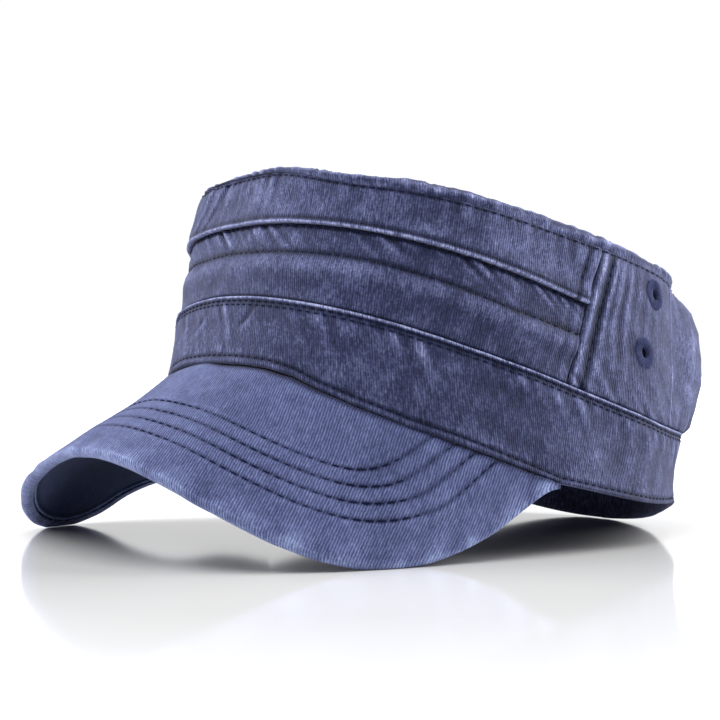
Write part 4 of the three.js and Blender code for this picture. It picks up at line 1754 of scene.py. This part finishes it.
@dataclass(frozen=True)
class Peak:
    """The curved peak: twill over a board, four rows of stitches, a rolled edge and a dark lining."""

    shape: CapShape
    finishes: Finishes
    first_row: float = 14.9
    last_row: float = 32.0
    row_count: int = 4
    stations: int = 330
    first_ray: float = 0.004
    tip_thickness: float = 1.2
    tip_length: float = 20.0
    stitches: Stitches = Stitches(4.0, 3.1, 0.33, 0.02)
    ripple: Ripple = Ripple(41, 6.0, 16.0)
    broad: Undulation = Undulation(42, 25.0, 60.0)

    def row_insets(self) -> Array:
        """Distances of the stitch rows in from the outline."""
        return np.linspace(self.first_row, self.last_row, self.row_count)

    def rays(self) -> PeakRays:
        """Rays across the whole peak."""
        return PeakRays(self.shape, np.linspace(self.first_ray, 1 - self.first_ray, self.stations))

    def from_outline(self, rays: PeakRays, inset: Array) -> Array:
        """Nearest distance to the outline from places on the rays.

        Args:
            rays: The rays.
            inset: Distances along them, in from the outline.

        Returns:
            The nearest distances.
        """
        u, v = rays.sheet_place(inset)
        ou, ov = self.shape.outline(np.linspace(0, 1, 500))
        square = np.full(u.shape, np.inf)
        for a, b in zip(ou, ov):
            square = np.minimum(square, (u - a) ** 2 + (v - b) ** 2)
        return np.sqrt(square)

    def cover(self, material: Material) -> Thing:
        """Makes the upper cloth with its rolled edge turned under.

        Args:
            material: The finish.

        Returns:
            The new piece.
        """
        s = self.shape
        rays = self.rays()
        full = s.peak_cover + s.peak_lining + 2 * s.peak_layer_gap
        length = rays.length[:, None]
        thick = lerp(self.tip_thickness, full, smoothstep(length, 0, self.tip_length))
        half = thick / 2
        turn = np.minimum(s.peak_edge_turn, 0.6 * length)
        edge_in = np.minimum(half, turn - 0.05)
        share = np.concatenate([[1.0], np.linspace(0.995, 0.02, 120), [0.0]])[None, :]
        flat = lerp(edge_in, length, share)
        flat = np.concatenate([length + s.wall_thickness, flat], 1)
        bow = np.linspace(0, math.pi, 13)[None, 1:]
        round_in = edge_in * (1 - np.sin(bow))
        round_down = half * (1 - np.cos(bow))
        back = lerp(edge_in, turn, np.linspace(0.1, 1, 6)[None, :])
        inset = np.concatenate([flat, round_in, back, turn], 1)
        depth = np.concatenate([0 * flat, round_down, thick + 0 * back, 0.65 * thick], 1)
        width = flat.shape[1]
        away = self.from_outline(rays, flat)
        relief = np.zeros_like(inset)
        groove_shade = np.zeros_like(inset)
        # Each stitch row is sunk a little and darkened as painted shade.
        for row in self.row_insets():
            relief[:, :width] -= 0.26 * bell(away - row, 0.8)
            groove_shade[:, :width] += 0.4 * bell(away - row, 0.7)
        channel = smoothstep(away, self.first_row - 3, self.first_row)
        channel = channel * (1 - smoothstep(away, self.last_row, self.last_row + 3))
        relief[:, :width] += 0.12 * channel
        plain = rays.points(flat, 0 * flat)
        edge = 1 - smoothstep(away, 0, 10)
        relief[:, :width] += 0.22 * self.broad(plain) + 0.2 * edge * self.ripple(rays.share[:, None] * 2.6)
        seam = np.clip(length - flat, 0, None)
        # Painted shade where the peak meets the band.
        relief[:, :width] -= 0.35 * bell(seam, 1.0)
        groove_shade[:, :width] += 0.8 * bell(seam, 1.6)
        relief[:, 0] = 0.0
        relief[:, width:] = relief[:, width - 1:width] * np.linspace(1, 0, inset.shape[1] - width)[None, :]
        wear = np.zeros_like(inset)
        wear[:, :width] = 0.16 * (1 - smoothstep(away, 1.0, 9.0)) + 0.24 * (1 - smoothstep(away, 0.0, 3.5))
        wear[:, width:] = 0.42
        # Painted shade on the last rows of the edge turned under the peak.
        groove_shade[:, -2:] = 0.6
        outer = rays.points(inset, depth - relief)
        inner = rays.points(inset, np.clip(depth, 0.3 * thick, 0.95 * thick))
        across, down = rays.sheet_place(inset)
        weave = np.stack([across, down + depth], -1)
        cloth = Cloth(outer, inner, wear, groove_shade, relief, weave=weave)
        piece = cloth.build("peak_cover_cloth", material, s.lay)
        return dress(piece, "peak_cover")

    def lining(self, material: Material) -> Thing:
        """Makes the dark cloth under the peak, with a thin bead along its edge.

        Args:
            material: The finish.

        Returns:
            The new piece.
        """
        s = self.shape
        rays = self.rays()
        rays = PeakRays(s, rays.share[rays.length > 4 * s.peak_edge_turn])
        length = rays.length[:, None]
        edge = s.peak_edge_turn + s.seam_gap
        lower = s.peak_cover + s.peak_layer_gap + s.peak_lining
        share = np.concatenate([[0.0, 0.004, 0.01, 0.018], np.linspace(0.03, 1.0, 60)])[None, :]
        inset = lerp(edge, length, share)
        inset = np.concatenate([inset, length + s.wall_thickness], 1)
        near = inset - edge
        plain = rays.points(inset, lower + 0 * inset)
        relief = 0.5 * bell(near - 0.7, 0.6) - 0.25 * bell(near - 2.2, 0.7) + 0.2 * self.broad(plain)
        relief = relief - 0.5 * bell(near, 0.25)
        under = rays.points(inset, lower + relief)
        upper = rays.points(inset, lower - s.peak_lining + 0 * inset)
        wear = 1.0 * bell(near - 0.7, 0.6)
        # The sunk line just inside the bead is darkened as painted shade.
        cloth = Cloth(under, upper, wear, 0.5 * bell(near - 2.2, 0.8), relief, False)
        piece = cloth.build("peak_lining_cloth", material, s.lay)
        return dress(piece, "peak_underside")

    def stitching(self, material: Material) -> Thing:
        """Sews the four rows across the peak.

        Args:
            material: The finish.

        Returns:
            The new piece.
        """
        s = self.shape
        rays = PeakRays(s, np.linspace(0.03, 0.97, 700))
        reach = np.linspace(0, 1, 160)[None, :]
        inset = lerp(rays.length[:, None], 0.0, reach)
        away = self.from_outline(rays, inset)
        work = ThreadWork("peak_stitching")
        for row in self.row_insets():
            cross = away < row
            first = np.argmax(cross, axis=1)
            held = (first > 3) & cross.any(1)
            index = np.arange(len(first))
            a, b = away[index, first - 1], away[index, first]
            part = (a - row) / np.where(a == b, 1, a - b)
            place = lerp(inset[index, first - 1], inset[index, first], part)
            keep = np.flatnonzero(held)
            path_rays = PeakRays(s, rays.share[keep])
            at = place[keep][:, None]
            here = path_rays.points(at, 0.28 + 0 * at)[:, 0]
            up = here - path_rays.points(at, 1.28 + 0 * at)[:, 0]
            up /= np.linalg.norm(up, axis=1, keepdims=True)
            work.sew(self.stitches, here, up)
        return work.build(material, s.lay)

    def build(self) -> None:
        """Makes the cover, the lining and the stitches."""
        report(self.cover(self.finishes.peak.build()))
        report(self.lining(self.finishes.under.build()))
        report(self.stitching(self.finishes.thread.build()))


@dataclass(frozen=True)
class Softbox:
    """A square soft light."""

    name: str
    azimuth: float
    elevation: float
    distance: float
    size: float
    power: float


@dataclass(frozen=True)
class Studio:
    """The pale floor, the soft lights, the white surroundings and the camera."""

    azimuth: float = 54.2007
    elevation: float = -0.27663
    distance: float = 0.65
    focal_pixels: float = 1625.86
    target: tuple[float, float, float] = (-0.04672, 0.026995, 0.063167)
    picture_size: int = 720
    film_width: float = 36.0
    floor_reach: float = 8.0
    floor_drop: float = 0.0002
    glow_start: float = 0.2
    glow_end: float = 1.2
    backdrop_light: float = 0.25
    seen_extra: float = 0.77
    lamp_aim: float = 0.06
    lights: tuple[Softbox, ...] = (
        Softbox("top_light", 20.0, 78.0, 1.5, 1.5, 30.0),
        Softbox("left_light", -50.0, 24.0, 1.4, 1.0, 20.0),
        Softbox("right_light", 163.0, 26.0, 1.4, 1.0, 30.0),
    )

    def way(self, azimuth: float, elevation: float) -> Vector:
        """Direction from the cap toward a place round it."""
        a, e = math.radians(azimuth), math.radians(elevation)
        return Vector((math.sin(a) * math.cos(e), -math.cos(a) * math.cos(e), math.sin(e)))

    def camera(self) -> None:
        """Sets up the camera at the photograph's place."""
        data = bpy.data.cameras.new("camera")
        data.lens = self.focal_pixels * self.film_width / self.picture_size
        data.sensor_width = self.film_width
        data.clip_start, data.clip_end = 0.01, 50
        eye = bpy.data.objects.new("camera", data)
        back = self.way(self.azimuth, self.elevation)
        eye.location = Vector(self.target) + back * self.distance
        eye.rotation_euler = (-back).to_track_quat("-Z", "Y").to_euler()
        bpy.context.scene.collection.objects.link(eye)
        bpy.context.scene.camera = eye

    def floor(self) -> None:
        """Lays a polished pale floor that glows more away from the cap, painted light that keeps the far
        floor white.
        """
        sheet = NodeSheet("polished_floor")
        place = sheet.add("ShaderNodeTexCoord").outputs["Object"]
        away = sheet.add("ShaderNodeVectorMath", {0: place}, operation="LENGTH").outputs["Value"]
        # Painted light: the floor's glow rises from nothing at 0.2 m to full at 1.2 m from the middle, so
        # the floor near the cap keeps its shadow and reflection.
        reach = {"Value": away, "From Min": self.glow_start, "From Max": self.glow_end}
        glow = sheet.add("ShaderNodeMapRange", reach).outputs[0]
        shader = sheet.add("ShaderNodeBsdfPrincipled", {
            "Base Color": (0.76, 0.76, 0.76, 1.0), "Roughness": 0.09, "IOR": 2.1,
            "Emission Color": (1.0, 1.0, 1.0, 1.0), "Emission Strength": glow,
        })
        sheet.add("ShaderNodeOutputMaterial", {"Surface": shader.outputs[0]})
        mesh = bpy.data.meshes.new("floor")
        far = self.floor_reach
        corners = [(-far, -far, 0), (far, -far, 0), (far, far, 0), (-far, far, 0)]
        mesh.from_pydata(corners, [], [(0, 1, 2, 3)])
        mesh.materials.append(sheet.material)
        floor = bpy.data.objects.new("floor", mesh)
        floor.location.z = -self.floor_drop
        bpy.context.scene.collection.objects.link(floor)

    def surroundings(self) -> None:
        """Makes the white backdrop, softer as a light than as it is seen."""
        world = bpy.data.worlds.new("surroundings")
        world.use_nodes = True
        tree = world.node_tree
        tree.nodes.clear()
        rays = tree.nodes.new("ShaderNodeLightPath")
        seen = tree.nodes.new("ShaderNodeMath")
        seen.operation = "MAXIMUM"
        tree.links.new(rays.outputs["Is Camera Ray"], seen.inputs[0])
        tree.links.new(rays.outputs["Is Glossy Ray"], seen.inputs[1])
        strength = tree.nodes.new("ShaderNodeMath")
        strength.operation = "MULTIPLY_ADD"
        strength.inputs[1].default_value = self.seen_extra
        strength.inputs[2].default_value = self.backdrop_light
        tree.links.new(seen.outputs[0], strength.inputs[0])
        light = tree.nodes.new("ShaderNodeBackground")
        light.inputs["Color"].default_value = (1.0, 1.0, 1.0, 1.0)
        tree.links.new(strength.outputs[0], light.inputs["Strength"])
        out = tree.nodes.new("ShaderNodeOutputWorld")
        tree.links.new(light.outputs[0], out.inputs[0])
        bpy.context.scene.world = world

    def lamps(self) -> None:
        """Hangs the soft lights."""
        for box in self.lights:
            data = bpy.data.lights.new(box.name, "AREA")
            data.shape, data.size, data.energy = "SQUARE", box.size, box.power
            lamp = bpy.data.objects.new(box.name, data)
            way = self.way(box.azimuth, box.elevation)
            lamp.location = Vector((0, 0, self.lamp_aim)) + way * box.distance
            lamp.rotation_euler = way.to_track_quat("Z", "Y").to_euler()
            bpy.context.scene.collection.objects.link(lamp)

    def build(self) -> None:
        """Sets up the whole studio."""
        bpy.context.scene.view_settings.view_transform = "Standard"
        self.camera()
        self.floor()
        self.surroundings()
        self.lamps()


def main() -> None:
    """Builds the cap and its studio in order."""
    logging.basicConfig(level=logging.INFO, format="%(message)s")
    shape, finishes = WornShape(), Finishes()
    rows = WallRows(shape)
    Studio().build()
    CrownWall(shape, rows, WallRelief(shape, rows), finishes).build()
    CrownTop(shape, finishes).build()
    Peak(shape, finishes).build()


if __name__ == "__main__":
    main()
